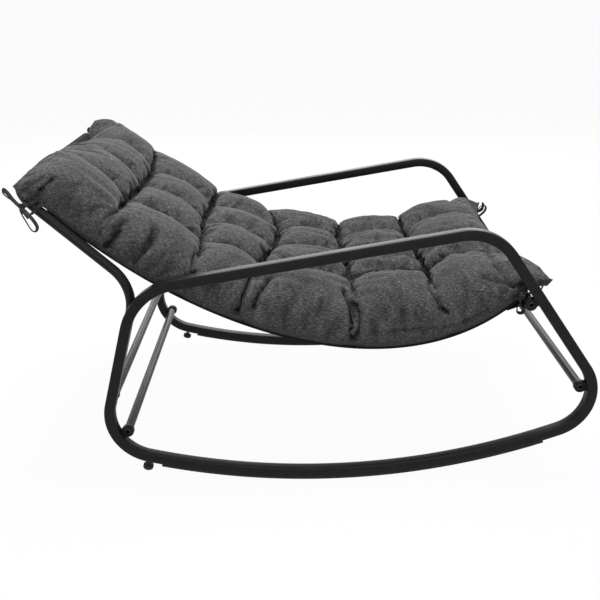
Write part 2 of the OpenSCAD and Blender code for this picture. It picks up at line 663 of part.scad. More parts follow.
side_frame_right();
side_frame_left();
front_seat_bar();
front_low_bar();
rear_low_bar();
bar_inserts();
bar_bolts();
bar_washers();
back_frame();
back_spreader();
back_plugs();
back_spacers();
back_bolts();
back_rivet_nuts();
grip_strip_right();
grip_strip_left();
strip_rivets();
stop_foot_right();
stop_foot_left();
foot_nuts();
sling();
cushion();
tie_back_right();
tie_back_left();
tie_front_right();
tie_front_left();
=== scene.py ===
# %% [markdown]
# # A rocking lounge chair
# The chair has two closed loops of bent square tube for sides, round bars bolted between them, a bent back
# frame, a hung cloth sling, and a thick tufted cushion tied on at its corners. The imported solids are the
# fixed frame: everything below is built in metres, in that same frame, with +X forwards and +Z up.

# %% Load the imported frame
import math

import bmesh
import bpy
import numpy as np
from mathutils import Matrix, Vector, noise


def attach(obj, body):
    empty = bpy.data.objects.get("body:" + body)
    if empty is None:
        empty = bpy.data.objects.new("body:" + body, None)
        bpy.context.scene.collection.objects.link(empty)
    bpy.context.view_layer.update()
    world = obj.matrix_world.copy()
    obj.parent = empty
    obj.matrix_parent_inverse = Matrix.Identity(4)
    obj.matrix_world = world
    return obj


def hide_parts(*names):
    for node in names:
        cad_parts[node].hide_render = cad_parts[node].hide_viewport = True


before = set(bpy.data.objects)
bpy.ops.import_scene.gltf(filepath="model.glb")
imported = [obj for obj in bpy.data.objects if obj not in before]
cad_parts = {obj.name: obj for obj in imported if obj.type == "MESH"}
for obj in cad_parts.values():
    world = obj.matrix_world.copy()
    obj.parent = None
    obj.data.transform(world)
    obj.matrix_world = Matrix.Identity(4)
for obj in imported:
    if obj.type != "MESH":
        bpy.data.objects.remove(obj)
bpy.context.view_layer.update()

scene = bpy.context.scene

# %% [markdown]
# ## Camera
# The camera stands where the picture was taken from: about 1.8 m to the chair's right, a metre up, looking
# down by some 17 degrees. The small shift frames the chair off the middle of the picture as in the original.

# %% Camera
tilt, swing = math.radians(17.154), math.radians(0.962)
look = Vector((math.sin(swing) * math.cos(tilt), math.cos(swing) * math.cos(tilt), -math.sin(tilt)))
side = Vector((math.cos(swing), -math.sin(swing), 0))
above = side.cross(look)
camera_data = bpy.data.cameras.new("camera")
camera_data.sensor_width = 36
camera_data.lens = 47.0
camera_data.shift_x, camera_data.shift_y = -0.01, -0.125
camera = bpy.data.objects.new("camera", camera_data)
turn = Matrix((side, above, -look)).transposed().to_4x4()
camera.matrix_world = Matrix.Translation((-0.0367, -1.8093, 1.0342)) @ turn
scene.collection.objects.link(camera)
scene.camera = camera
print("camera at", tuple(round(c, 3) for c in camera.location))

# %% [markdown]
# ## Helpers for pieces
# Each piece is a mesh whose object stays at the origin, so its place is in its points. A piece rides on a
# body of the frame, takes a material slot of the record, and may replace the plain solid of a node.

# %% Piece helper
def piece(name, bm, material, nodes=(), body="frame", smooth=40):
    mesh = bpy.data.meshes.new(name)
    bm.to_mesh(mesh)
    bm.free()
    obj = bpy.data.objects.new(name, mesh)
    scene.collection.objects.link(obj)
    mesh.materials.append(material)
    for poly in mesh.polygons:
        poly.use_smooth = True
    if smooth:
        mesh.set_sharp_from_angle(angle=math.radians(smooth))
    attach(obj, body)
    if nodes:
        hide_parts(*nodes)
    print(name, len(mesh.polygons), "faces")
    return obj


def new_edges(geom):
    verts = {g for g in geom if isinstance(g, bmesh.types.BMVert)}
    return [g for g in geom if isinstance(g, bmesh.types.BMEdge) and set(g.verts) <= verts]


# %% [markdown]
# ## Finishes
# The tubes wear a satin powder coat: nearly black, with the faint orange-peel dimples of baked powder and a
# gloss that varies a little from place to place. The cloth is a heather weave of dark and light yarns. All the
# patterns are made of noise on object coordinates, or on a UV map in metres where they follow the cloth. The one
# exception is the cushion's painted shade and highlight: its cloth is painted darker in its creases and lighter on its
# ridges.

# %% Node helpers
def new_material(name):
    mat = bpy.data.materials.new(name)
    mat.use_nodes = True
    return mat, mat.node_tree.nodes, mat.node_tree.links, mat.node_tree.nodes["Principled BSDF"]


def noise_at(mat, scale, detail=2.0, rough=0.5, vector=None, stretch=None):
    nodes, links = mat.node_tree.nodes, mat.node_tree.links
    tex = nodes.new("ShaderNodeTexNoise")
    tex.inputs["Scale"].default_value = scale
    tex.inputs["Detail"].default_value = detail
    tex.inputs["Roughness"].default_value = rough
    if vector is None:
        vector = nodes.new("ShaderNodeTexCoord").outputs["Object"]
    if stretch:
        mapping = nodes.new("ShaderNodeMapping")
        mapping.inputs["Scale"].default_value = stretch
        links.new(vector, mapping.inputs["Vector"])
        vector = mapping.outputs["Vector"]
    links.new(vector, tex.inputs["Vector"])
    return tex.outputs["Fac"]


def ramp(mat, source, low, high, start=0.3, end=0.7):
    nodes, links = mat.node_tree.nodes, mat.node_tree.links
    node = nodes.new("ShaderNodeValToRGB")
    for stop, place, value in zip(node.color_ramp.elements, (start, end), (low, high)):
        stop.position = place
        stop.color = (*value, 1) if isinstance(value, tuple) else (value, value, value, 1)
    links.new(source, node.inputs["Fac"])
    return node.outputs["Color"]


def math_node(mat, what, a, b=None):
    nodes, links = mat.node_tree.nodes, mat.node_tree.links
    node = nodes.new("ShaderNodeMath")
    node.operation = what
    for socket, value in zip(node.inputs, (a, b)):
        if value is None:
            continue
        if isinstance(value, (int, float)):
            socket.default_value = value
        else:
            links.new(value, socket)
    return node.outputs[0]


def mix_colour(mat, factor, a, b, way="MIX"):
    nodes, links = mat.node_tree.nodes, mat.node_tree.links
    node = nodes.new("ShaderNodeMix")
    node.data_type = "RGBA"
    node.blend_type = way
    for socket, value in ((node.inputs[0], factor), (node.inputs[6], a), (node.inputs[7], b)):
        if isinstance(value, (int, float)):
            socket.default_value = value
        elif isinstance(value, tuple):
            socket.default_value = (*value, 1)
        else:
            links.new(value, socket)
    return node.outputs[2]


def bump(mat, height, strength, distance, before=None):
    nodes, links = mat.node_tree.nodes, mat.node_tree.links
    node = nodes.new("ShaderNodeBump")
    node.inputs["Strength"].default_value = strength
    node.inputs["Distance"].default_value = distance
    links.new(height, node.inputs["Height"])
    if before is not None:
        links.new(before, node.inputs["Normal"])
    return node.outputs["Normal"]


# %% Powder coat, metal, rubber and plastic
def powder_coat(name, dark, light, gloss_low, gloss_high, specular):
    mat, nodes, links, bsdf = new_material(name)
    links.new(ramp(mat, noise_at(mat, 38, 5), dark, light), bsdf.inputs["Base Color"])
    links.new(ramp(mat, noise_at(mat, 11, 4), gloss_low, gloss_high), bsdf.inputs["Roughness"])
    peel = bump(mat, noise_at(mat, 750, 1.5), 0.12, 0.0004)
    links.new(bump(mat, noise_at(mat, 120, 1), 0.08, 0.0006, peel), bsdf.inputs["Normal"])
    bsdf.inputs["Specular IOR Level"].default_value = specular
    return mat


def moulded(name, dark, light, rough_low, rough_high, grain):
    mat, nodes, links, bsdf = new_material(name)
    links.new(ramp(mat, noise_at(mat, 60, 4), dark, light), bsdf.inputs["Base Color"])
    links.new(ramp(mat, noise_at(mat, 25, 3), rough_low, rough_high), bsdf.inputs["Roughness"])
    links.new(bump(mat, noise_at(mat, grain, 2), 0.25, 0.0003), bsdf.inputs["Normal"])
    bsdf.inputs["Specular IOR Level"].default_value = 0.35
    return mat


def plated(name, dark, light):
    mat, nodes, links, bsdf = new_material(name)
    links.new(ramp(mat, noise_at(mat, 90, 5), dark, light), bsdf.inputs["Base Color"])
    links.new(ramp(mat, noise_at(mat, 40, 4, stretch=(1, 12, 1)), 0.28, 0.42), bsdf.inputs["Roughness"])
    links.new(bump(mat, noise_at(mat, 600, 1), 0.08, 0.0002), bsdf.inputs["Normal"])
    bsdf.inputs["Metallic"].default_value = 1.0
    return mat


frame_paint = powder_coat("frame_paint", (0.0058, 0.0056, 0.0070), (0.0098, 0.0095, 0.0116), 0.34, 0.44, 0.14)
# Painted reflection: the bars wear the same black coat as the frame, painted lighter to stand in for the white
# surroundings reflected on their round sides.
bar_paint = powder_coat("bar_paint", (0.013, 0.013, 0.014), (0.019, 0.019, 0.020), 0.27, 0.36, 0.15)
dark_steel = moulded("dark_steel", (0.010, 0.010, 0.011), (0.022, 0.022, 0.023), 0.32, 0.48, 900)
zinc_steel = plated("zinc_steel", (0.42, 0.42, 0.43), (0.56, 0.56, 0.56))
black_plastic = moulded("black_plastic", (0.010, 0.010, 0.011), (0.018, 0.018, 0.019), 0.42, 0.56, 1100)
grip_rubber = moulded("grip_rubber", (0.008, 0.008, 0.0085), (0.016, 0.016, 0.0165), 0.62, 0.82, 1400)
print("paints, metal, plastic and rubber made")

# %% [markdown]
# ## Plane geometry of a side frame
# A side frame is one tube that runs up the rear leg, forward along the arm, down the raked front leg and back
# along the rocker. Its straights and bends come from the same sizes as the solids, so a tube drawn here lies
# exactly where the solid does.

# %% Lines and bends of the side frame
def heading(a):
    return Vector((math.cos(math.radians(a)), math.sin(math.radians(a))))


def meet(p, a, q, b):
    return p + heading(a) * (q - p).cross(heading(b)) / heading(a).cross(heading(b))


def at_height(p, a, z):
    return p + heading(a) * (z - p.y) / math.sin(math.radians(a))


def angle_of(v):
    return math.degrees(math.atan2(v.y, v.x))


tube, strip_t, frame_y = 0.022, 0.005, 0.330
rocker_r, rocker_c = 1.492, Vector((0, 0.005 + 0.011 + 1.492))
rear_a, arm_a, front_a = 90 - 13.9, 9.9, 34.7 - 90
rear_p, arm_p, front_p = Vector((-0.396, 0.300)), Vector((0, 0.503)), Vector((0.550, 0.300))
rear_top_r, front_top_r, front_low_r, rear_low_r = 0.129, 0.107, 0.097, 0.103


def low_bend(p, a, r, way):
    q = p + r * heading(a - 90)
    w = q - rocker_c
    b, c = w.dot(heading(a)), w.dot(w) - (rocker_r - r) ** 2
    return q + heading(a) * (-b + way * math.sqrt(b * b - c))


rear_corner, front_corner = meet(rear_p, rear_a, arm_p, arm_a), meet(arm_p, arm_a, front_p, front_a)
rear_top_run = rear_top_r * math.tan(math.radians((rear_a - arm_a) / 2))
front_top_run = front_top_r * math.tan(math.radians((arm_a - front_a) / 2))
rear_top_c = rear_corner - rear_top_run * heading(rear_a) + rear_top_r * heading(rear_a - 90)
front_top_c = front_corner - front_top_run * heading(arm_a) + front_top_r * heading(arm_a - 90)
front_low_c, rear_low_c = low_bend(front_p, front_a, front_low_r, 1), low_bend(rear_p, rear_a, rear_low_r, -1)
front_low_a, rear_low_a = angle_of(front_low_c - rocker_c), angle_of(rear_low_c - rocker_c)
print("rocker from", round(rear_low_a, 2), "to", round(front_low_a, 2), "degrees")

# %% [markdown]
# ## Tubes by spin and extrude
# A bent tube is made as on a bending bench: a ring of the tube's section is pushed along each straight with an
# extrude, and turned round each bend with a spin. The square tube's ring is a square face whose corners are
# bevelled, and the round tube's ring is a circle.

# %% Tube bench
def in_plane(v, y):
    return Vector((v.x, y, v.y))


def ring_of(bm, shape, place, forward):
    """Edges of a section ring laid square to forward, with its own first axis along Y."""
    if shape[0] == "square":
        made = bmesh.ops.create_grid(bm, x_segments=1, y_segments=1, size=shape[1] / 2)
        bmesh.ops.bevel(bm, geom=made["verts"], offset=shape[2], segments=4, profile=0.5, material=-1,
                        affect="VERTICES")
        face = bm.faces[:][-1] if len(bm.faces) == 1 else max(bm.faces, key=lambda f: f.index)
        edges, verts = list(face.edges), list(face.verts)
        bmesh.ops.delete(bm, geom=[face], context="FACES_ONLY")
    else:
        made = bmesh.ops.create_circle(bm, cap_ends=False, radius=shape[1] / 2, segments=shape[2])
        verts = made["verts"]
        edges = list({e for v in verts for e in v.link_edges})
    across = Vector((0, 1, 0))
    up = forward.cross(across).normalized()
    across = up.cross(forward).normalized()
    spot = Matrix((across, up, forward.normalized())).transposed().to_4x4()
    bmesh.ops.transform(bm, verts=verts, matrix=Matrix.Translation(place) @ spot)
    return edges


def push(bm, edges, vector):
    made = bmesh.ops.extrude_edge_only(bm, edges=edges)["geom"]
    verts = [g for g in made if isinstance(g, bmesh.types.BMVert)]
    bmesh.ops.translate(bm, verts=verts, vec=vector)
    return new_edges(made)


def bend(bm, edges, centre, axis, degrees, steps):
    made = bmesh.ops.spin(bm, geom=edges + list({v for e in edges for v in e.verts}), cent=centre, axis=axis,
                          dvec=(0, 0, 0), angle=math.radians(degrees), steps=steps, use_merge=False,
                          use_normal_flip=False, use_duplicate=False)
    return new_edges(made["geom_last"])


def close_up(bm, distance=0.00002):
    bmesh.ops.remove_doubles(bm, verts=bm.verts[:], dist=distance)
    bmesh.ops.recalc_face_normals(bm, faces=bm.faces[:])


def turned(bm, half_section, place, axis, segments=40):
    """A turned piece: a closed outline of (radius, height) pairs spun round axis through place."""
    first = Vector((1, 0, 0)) if abs(axis.x) < 0.9 else Vector((0, 0, 1))
    out = (first - axis * first.dot(axis)).normalized()
    verts = [bm.verts.new(place + out * r + axis * h) for r, h in half_section]
    edges = [bm.edges.new((verts[i], verts[i - 1])) for i in range(len(verts))]
    before = set(bm.verts) - set(verts)
    bmesh.ops.spin(bm, geom=edges + verts, cent=place, axis=axis, dvec=(0, 0, 0), angle=2 * math.pi,
                   steps=segments, use_merge=True, use_normal_flip=False, use_duplicate=False)
    bmesh.ops.remove_doubles(bm, verts=[v for v in bm.verts if v not in before], dist=0.00001)


Y = Vector((0, 1, 0))
print("tube bench ready")

# %% [markdown]
# ## Side frames
# The loop starts half-way up the rear leg and comes back to its start, where the two rings are merged. Each
# loop carries three welded lugs: a turned disc with a recess for the bolt head, a short web to the tube, and a
# weld bead where the disc meets the wall.

# %% Lugs of a side frame
lug_d, lug_t, lug_sink, lug_web = 0.026, 0.012, 0.001, 0.016
lug_off = tube / 2 + lug_d / 2 - lug_sink
inner_y = frame_y - tube / 2
seat_leg = at_height(front_p, front_a, 0.403 - lug_off * math.sin(math.radians(front_a - 90)))
seat_bar = seat_leg + lug_off * heading(front_a - 90)
front_bar = front_low_c + (front_low_r - lug_off) * heading(7.5)
rear_bar = rear_low_c + (rear_low_r - lug_off) * heading(211)
lugs = [(seat_bar, front_a + 90), (front_bar, 7.5), (rear_bar, 211.0)]
recess = 0.0057


def add_lug(bm, centre, way, sign):
    place, axis = in_plane(centre, sign * inner_y), Y * sign
    round_r = 0.0012
    outline = [(0.0042, 0), (lug_d / 2 - round_r, 0), (lug_d / 2 - 0.0003, 0.0003), (lug_d / 2, round_r),
               (lug_d / 2, lug_t - round_r), (lug_d / 2 - 0.0003, lug_t - 0.0003), (lug_d / 2 - round_r, lug_t),
               (0.0074, lug_t), (0.0069, lug_t - 0.0006), (0.0069, lug_t - recess), (0.0042, lug_t - recess)]
    turned(bm, outline, place, axis, 48)
    made = bmesh.ops.create_cube(bm, size=1)["verts"]
    along = heading(way)
    web = Matrix((Vector((along.x, 0, along.y)), Y, Vector((-along.y, 0, along.x)))).transposed().to_4x4()
    middle = centre + along * (lug_d / 2 + 0.001)
    size = Matrix.Diagonal((0.006, lug_t - recess, lug_web, 1))
    spot = Matrix.Translation(in_plane(middle, sign * (inner_y + (lug_t - recess) / 2)))
    bmesh.ops.transform(bm, verts=made, matrix=spot @ web @ size)


def add_bead(bm, centre, way, sign):
    """A weld bead: a short run of overlapping flattened drops across the joint of disc and tube."""
    along, span = heading(way), Vector((-heading(way).y, heading(way).x))
    for rim in (inner_y + 0.0006, inner_y + lug_t - 0.0004):
        for k in range(9):
            f = (k - 4) / 4
            spot = centre + along * (lug_d / 2 - 0.0008 - 0.0022 * f * f) + span * (0.0085 * f)
            made = bmesh.ops.create_icosphere(bm, subdivisions=2, radius=0.0019)["verts"]
            bmesh.ops.scale(bm, verts=made, vec=(1, 0.72, 1))
            bmesh.ops.translate(bm, verts=made, vec=in_plane(spot, sign * rim))


# %% Loop of a side frame
def side_loop(bm, sign):
    y = sign * frame_y
    start = at_height(rear_p, rear_a, 0.300)
    ring = ring_of(bm, ("square", tube, 0.0028), in_plane(start, y), in_plane(heading(rear_a), 0))
    here = start
    for centre, radius, a0, a1, steps in (
            (rear_top_c, rear_top_r, rear_a + 90, arm_a + 90, 22),
            (front_top_c, front_top_r, arm_a + 90, front_a + 90, 22),
            (front_low_c, front_low_r, front_a + 90, front_low_a, 30),
            (rocker_c, rocker_r, front_low_a, rear_low_a, 56),
            (rear_low_c, rear_low_r, rear_low_a + 360, rear_a + 90, 26)):
        entry = centre + radius * heading(a0)
        if (entry - here).length > 0.0005:
            ring = push(bm, ring, in_plane(entry - here, 0))
        ring = bend(bm, ring, in_plane(centre, y), Y, a0 - a1, steps)
        here = centre + radius * heading(a1)
    push(bm, ring, in_plane(start - here, 0))
    close_up(bm)


for word, sign in (("right", -1), ("left", 1)):
    bm = bmesh.new()
    side_loop(bm, sign)
    loops = [f for f in bm.faces]
    for centre, way in lugs:
        add_lug(bm, centre, way, sign)
        add_bead(bm, centre, way, sign)
    bmesh.ops.recalc_face_normals(bm, faces=bm.faces[:])
    piece("side_loop_" + word, bm, frame_paint, ["side_frame_" + word])

# %% [markdown]
# ## Cross bars
# Three round bars tie the two sides together. Each is a length of tube, cut square, with a small chamfer, so
# its ends sit flat on the lugs. The outline of its wall is turned round Y, with a close pair of points for each edge.

# %% Bars
bar_d = 0.019


def add_bar(bm, centre, half, radius, wall=0.0015):
    lip = 0.0006
    outline = [(radius - wall, -half), (radius - lip, -half), (radius, -half + lip), (radius, half - lip),
               (radius - lip, half), (radius - wall, half)]
    turned(bm, outline, in_plane(centre, 0), Y, 48)


for name, centre in (("front_seat_bar", seat_bar), ("front_low_bar", front_bar), ("rear_low_bar", rear_bar)):
    bm = bmesh.new()
    add_bar(bm, centre, inner_y, bar_d / 2)
    bmesh.ops.recalc_face_normals(bm, faces=bm.faces[:])
    piece(name + "_tube", bm, bar_paint, [name])

# %% [markdown]
# ## Bolts
# A socket-head bolt sits in each lug's recess. Its head is a circle with a hexagon in it: the hexagon is cut
# into as many edges as the circle has, so the two loops bridge cleanly, and the socket's walls are extruded
# inwards from it.

# %% Socket bolts
def bolt_mesh(head_r, head_h, shank_r, shank_len, socket_w=0.005, socket_depth=0.0025, dome=0.0):
    """A bolt with its seat under the head at the origin and its head towards +Z."""
    bm = bmesh.new()
    made = bmesh.ops.create_circle(bm, cap_ends=True, radius=socket_w / 2 / math.cos(math.radians(30)), segments=6)
    bmesh.ops.subdivide_edges(bm, edges=bm.edges[:], cuts=3, use_grid_fill=False)
    bm.faces.ensure_lookup_table()
    ring = push(bm, list(bm.faces[0].edges), Vector((0, 0, socket_depth)))
    outline = [(head_r * 0.50, dome), (head_r * 0.62, dome), (head_r - 0.0010, 0.35 * dome),
               (head_r - 0.0003, -0.0004), (head_r, -0.0011), (head_r, -head_h), (shank_r, -head_h),
               (shank_r, -head_h - shank_len)]
    for r, h in outline:
        circle = bmesh.ops.create_circle(bm, cap_ends=False, radius=r, segments=24)["verts"]
        bmesh.ops.translate(bm, verts=circle, vec=(0, 0, socket_depth + h))
        loop = list({e for v in circle for e in v.link_edges})
        bmesh.ops.bridge_loops(bm, edges=ring + loop)
        ring = loop
    bmesh.ops.edgeloop_fill(bm, edges=ring)
    bmesh.ops.translate(bm, verts=bm.verts[:], vec=(0, 0, head_h - socket_depth))
    close_up(bm)
    mesh = bpy.data.meshes.new("bolt")
    bm.to_mesh(mesh)
    bm.free()
    return mesh


def set_in(bm, mesh, place, axis):
    """Adds a copy of a mesh at place, with its +Z along axis."""
    count = len(bm.verts)
    bm.from_mesh(mesh)
    bm.verts.ensure_lookup_table()
    turn_to = axis.to_track_quat("Z", "Y").to_matrix().to_4x4()
    bmesh.ops.transform(bm, verts=bm.verts[count:], matrix=Matrix.Translation(place) @ turn_to)


bm = bmesh.new()
washer_t = 0.0012
socket_bolt = bolt_mesh(0.0065, 0.0045, 0.004, 0.028)
for sign in (-1, 1):
    for centre, way in lugs:
        seat = in_plane(centre, sign * (inner_y + lug_t - recess + washer_t))
        set_in(bm, socket_bolt, seat, Y * sign)
piece("bar_socket_bolts", bm, dark_steel, ["bar_bolts"], smooth=30)

# %% [markdown]
# ## Back frame
# One round tube runs up inside both rear legs, leans back and crosses at the top. The spreader bar between its
# lower ends is fitted to the uprights and welded. Plugs close the lower ends, and bolts with round heads hold
# the uprights to the legs through small saddle spacers.

# %% Back frame tube
back_d, back_y = 0.020, inner_y - 0.002 - 0.010
back_a, back_bend_r, back_corner_r, back_length = 90 + 47.7, 0.100, 0.045, 0.303
back_corner = at_height(rear_p, rear_a, 0.439)
back_run = back_bend_r * math.tan(math.radians((back_a - rear_a) / 2))
back_bend_c = back_corner - back_run * heading(rear_a) + back_bend_r * heading(rear_a + 90)
back_low = at_height(rear_p, rear_a, 0.170)
back_top = back_corner + (back_length - back_corner_r) * heading(back_a)
top_bar = back_corner + back_length * heading(back_a)

bm = bmesh.new()
ring = ring_of(bm, ("round", back_d, 40), in_plane(back_low, back_y), in_plane(heading(rear_a), 0))
bend_start = back_corner - back_run * heading(rear_a)
bend_end = back_corner + back_run * heading(back_a)
ring = push(bm, ring, in_plane(bend_start - back_low, 0))
ring = bend(bm, ring, in_plane(back_bend_c, back_y), Y, rear_a - back_a, 22)
ring = push(bm, ring, in_plane(back_top - bend_end, 0))
slope = in_plane(heading(back_a), 0)
ring = bend(bm, ring, in_plane(back_top, back_y - back_corner_r), slope.cross(-Y), 90, 18)
push(bm, ring, Vector((0, -(back_y - back_corner_r), 0)))
bmesh.ops.mirror(bm, geom=bm.verts[:] + bm.edges[:] + bm.faces[:], axis="Y", merge_dist=0.0001)
close_up(bm)
piece("back_frame_tube", bm, frame_paint, ["back_frame"])
print("top bar at", tuple(round(c, 4) for c in top_bar))

# %% Spreader, its welds and the plugs
spreader = at_height(rear_p, rear_a, 0.188)
bm = bmesh.new()
add_bar(bm, spreader, back_y - 0.0078, bar_d / 2, 0.004)
for sign in (-1, 1):
    for k in range(26):
        a = 2 * math.pi * k / 26
        swell = 0.0098 + 0.0002 * math.sin(5 * a)
        reach = back_y - math.sqrt(max(0.0, 0.0104 ** 2 - (0.0098 * math.sin(a - math.radians(rear_a - 90))) ** 2))
        made = bmesh.ops.create_icosphere(bm, subdivisions=2, radius=0.0021)["verts"]
        bmesh.ops.translate(bm, verts=made, vec=in_plane(spreader, sign * min(reach, back_y - 0.0035))
                            + Vector((swell * math.cos(a), 0, swell * math.sin(a))))
bmesh.ops.recalc_face_normals(bm, faces=bm.faces[:])
piece("spreader_bar", bm, bar_paint, ["back_spreader"])

bm = bmesh.new()
down = -in_plane(heading(rear_a), 0)
for sign in (-1, 1):
    turned(bm, [(0.0001, -0.014), (0.0070, -0.014), (0.0082, -0.0128), (0.0082, 0), (0.0100, 0), (0.0100, 0.0016),
                (0.0092, 0.0026), (0.0075, 0.0030), (0.0001, 0.0032)], in_plane(back_low, sign * back_y), down, 32)
bmesh.ops.recalc_face_normals(bm, faces=bm.faces[:])
piece("tube_end_plugs", bm, black_plastic, ["back_plugs"])

# %% Bolts of the back frame
bm = bmesh.new()
round_bolt = bolt_mesh(0.007, 0.004, 0.004, 0.037, dome=0.0009)
for z in (0.236, 0.340):
    spot = at_height(rear_p, rear_a, z)
    for sign in (-1, 1):
        set_in(bm, round_bolt, in_plane(spot, sign * (back_y - back_d / 2 - 0.0002)), -Y * sign)
piece("back_round_bolts", bm, dark_steel, ["back_bolts"], smooth=30)

# %% [markdown]
# ## Grip strips and stop feet
# A rubber strip is held under each rocker with push rivets, so the chair rolls quietly and does not mark the
# floor. Two grooves run along it. Behind it a stop foot on a threaded stem keeps the chair from tipping over.

# %% Grip strips and rivets
strip_r, strip_back, strip_front = rocker_r + tube / 2, -90 - 12.4, -90 + 19.4


def rocker_spot(angle, drop, y):
    """A point under the rocker, and the way out from the rocker's centre there."""
    out = in_plane(heading(-90 - angle), 0)
    return in_plane(rocker_c, y) + out * (strip_r + drop), out


for word, sign in (("right", -1), ("left", 1)):
    bm = bmesh.new()
    spot, out = rocker_spot(-19.4, 0, sign * frame_y)
    half, t = 0.010, strip_t
    outline = [(-half + 0.0002, 0.00005), (-half, 0.0004), (-half, t - 0.0014), (-half + 0.0005, t - 0.0004),
               (-half + 0.0016, t), (-0.0052, t), (-0.0046, t - 0.0012), (-0.0036, t - 0.0012), (-0.0030, t),
               (0.0030, t), (0.0036, t - 0.0012), (0.0046, t - 0.0012), (0.0052, t), (half - 0.0016, t),
               (half - 0.0005, t - 0.0004), (half, t - 0.0014), (half, 0.0004), (half - 0.0002, 0.00005)]
    verts = [bm.verts.new(spot + Y * a + out * b) for a, b in outline]
    edges = [bm.edges.new((verts[i], verts[i - 1])) for i in range(len(verts))]
    bmesh.ops.edgeloop_fill(bm, edges=edges)
    ring = bend(bm, edges, in_plane(rocker_c, sign * frame_y), Y, strip_front - strip_back, 64)
    bmesh.ops.edgeloop_fill(bm, edges=ring)
    close_up(bm)
    piece("rocker_strip_" + word, bm, grip_rubber, ["grip_strip_" + word])

bm = bmesh.new()
span = 12.4 + 19.4
for sign in (-1, 1):
    for k in range(5):
        spot, out = rocker_spot(12.4 - span * (k + 0.5) / 5, strip_t - 0.0016, sign * frame_y)
        turned(bm, [(0.0001, 0.0008), (0.0022, 0.00075), (0.0036, 0.0004), (0.0044, -0.0002), (0.0045, -0.0016),
                    (0.0025, -0.0016), (0.0025, -0.0062), (0.0001, -0.0062)], spot, out, 24)
bmesh.ops.recalc_face_normals(bm, faces=bm.faces[:])
piece("strip_push_rivets", bm, black_plastic, ["strip_rivets"])

# %% Stop feet
for word, sign in (("right", -1), ("left", 1)):
    bm = bmesh.new()
    spot, out = rocker_spot(13.5, 0, sign * frame_y)
    outline = [(0.0001, -0.012), (0.0036, -0.012), (0.0040, -0.0115)]
    for k in range(22):
        h = -0.011 + k * 0.001
        outline += [(0.0040, h - 0.0003), (0.0037, h + 0.0002)] if h < 0.0095 else []
    outline += [(0.0040, 0.0096), (0.0060, 0.0100), (0.0092, 0.0104), (0.0105, 0.0112), (0.0110, 0.0124),
                (0.0110, 0.0182), (0.0105, 0.0194), (0.0092, 0.0200), (0.0060, 0.0198), (0.0001, 0.0196)]
    turned(bm, outline, spot, out, 36)
    bmesh.ops.recalc_face_normals(bm, faces=bm.faces[:])
    piece("stop_pad_" + word, bm, grip_rubber, ["stop_foot_" + word], body="stop_foot_" + word)

# %% [markdown]
# ## The bed: where the sling hangs
# Cloth hung between two bars takes one smooth curve, here a cubic from the top of the top bar to the top of
# the seat bar. The cushion lies on it, runs on a little past the top bar, and rolls over the seat bar. Places
# on this bed are given by s, the distance along it from the top bar, and h, the height square to it.

# %% Sling curve and bed
wrap_r = 0.0113
start_n, end_n = Vector((0.299, 0.275)).normalized(), Vector((-0.258, 0.258)).normalized()
sling_0, sling_3 = top_bar + 0.0103 * start_n, seat_bar + 0.0098 * end_n
sling_1, sling_2 = sling_0 + Vector((0.275, -0.299)), sling_3 - Vector((0.258, 0.258))
bed_t = np.linspace(0, 1, 1201)[:, None]
bed_xy = ((1 - bed_t) ** 3 * np.array(sling_0) + 3 * (1 - bed_t) ** 2 * bed_t * np.array(sling_1)
          + 3 * (1 - bed_t) * bed_t ** 2 * np.array(sling_2) + bed_t ** 3 * np.array(sling_3))
bed_step = np.diff(bed_xy, axis=0)
bed_s = np.concatenate([[0], np.cumsum(np.linalg.norm(bed_step, axis=1))])
bed_turn = np.unwrap(np.arctan2(bed_step[:, 1], bed_step[:, 0]))
bed_turn = np.concatenate([bed_turn[:1], (bed_turn[1:] + bed_turn[:-1]) / 2, bed_turn[-1:]])
bed_len = float(bed_s[-1])
roll_r = 0.060


def bed(s, h):
    """Points (x, z) at distance s along the bed and height h square to it, for arrays of s and h."""
    s, h = np.asarray(s, float), np.asarray(h, float)
    x, z = np.interp(s, bed_s, bed_xy[:, 0]), np.interp(s, bed_s, bed_xy[:, 1])
    a = np.interp(s, bed_s, bed_turn)
    before, after = np.minimum(s, 0), np.maximum(s - bed_len, 0) / roll_r
    x, z = x + before * math.cos(bed_turn[0]), z + before * math.sin(bed_turn[0])
    end = bed_turn[-1]
    x = x + roll_r * (-np.sin(end - after) + math.sin(end))
    z = z + roll_r * (np.cos(end - after) - math.cos(end))
    a = a - after
    return x - h * np.sin(a), z + h * np.cos(a)


print("bed is", round(bed_len, 4), "m long")
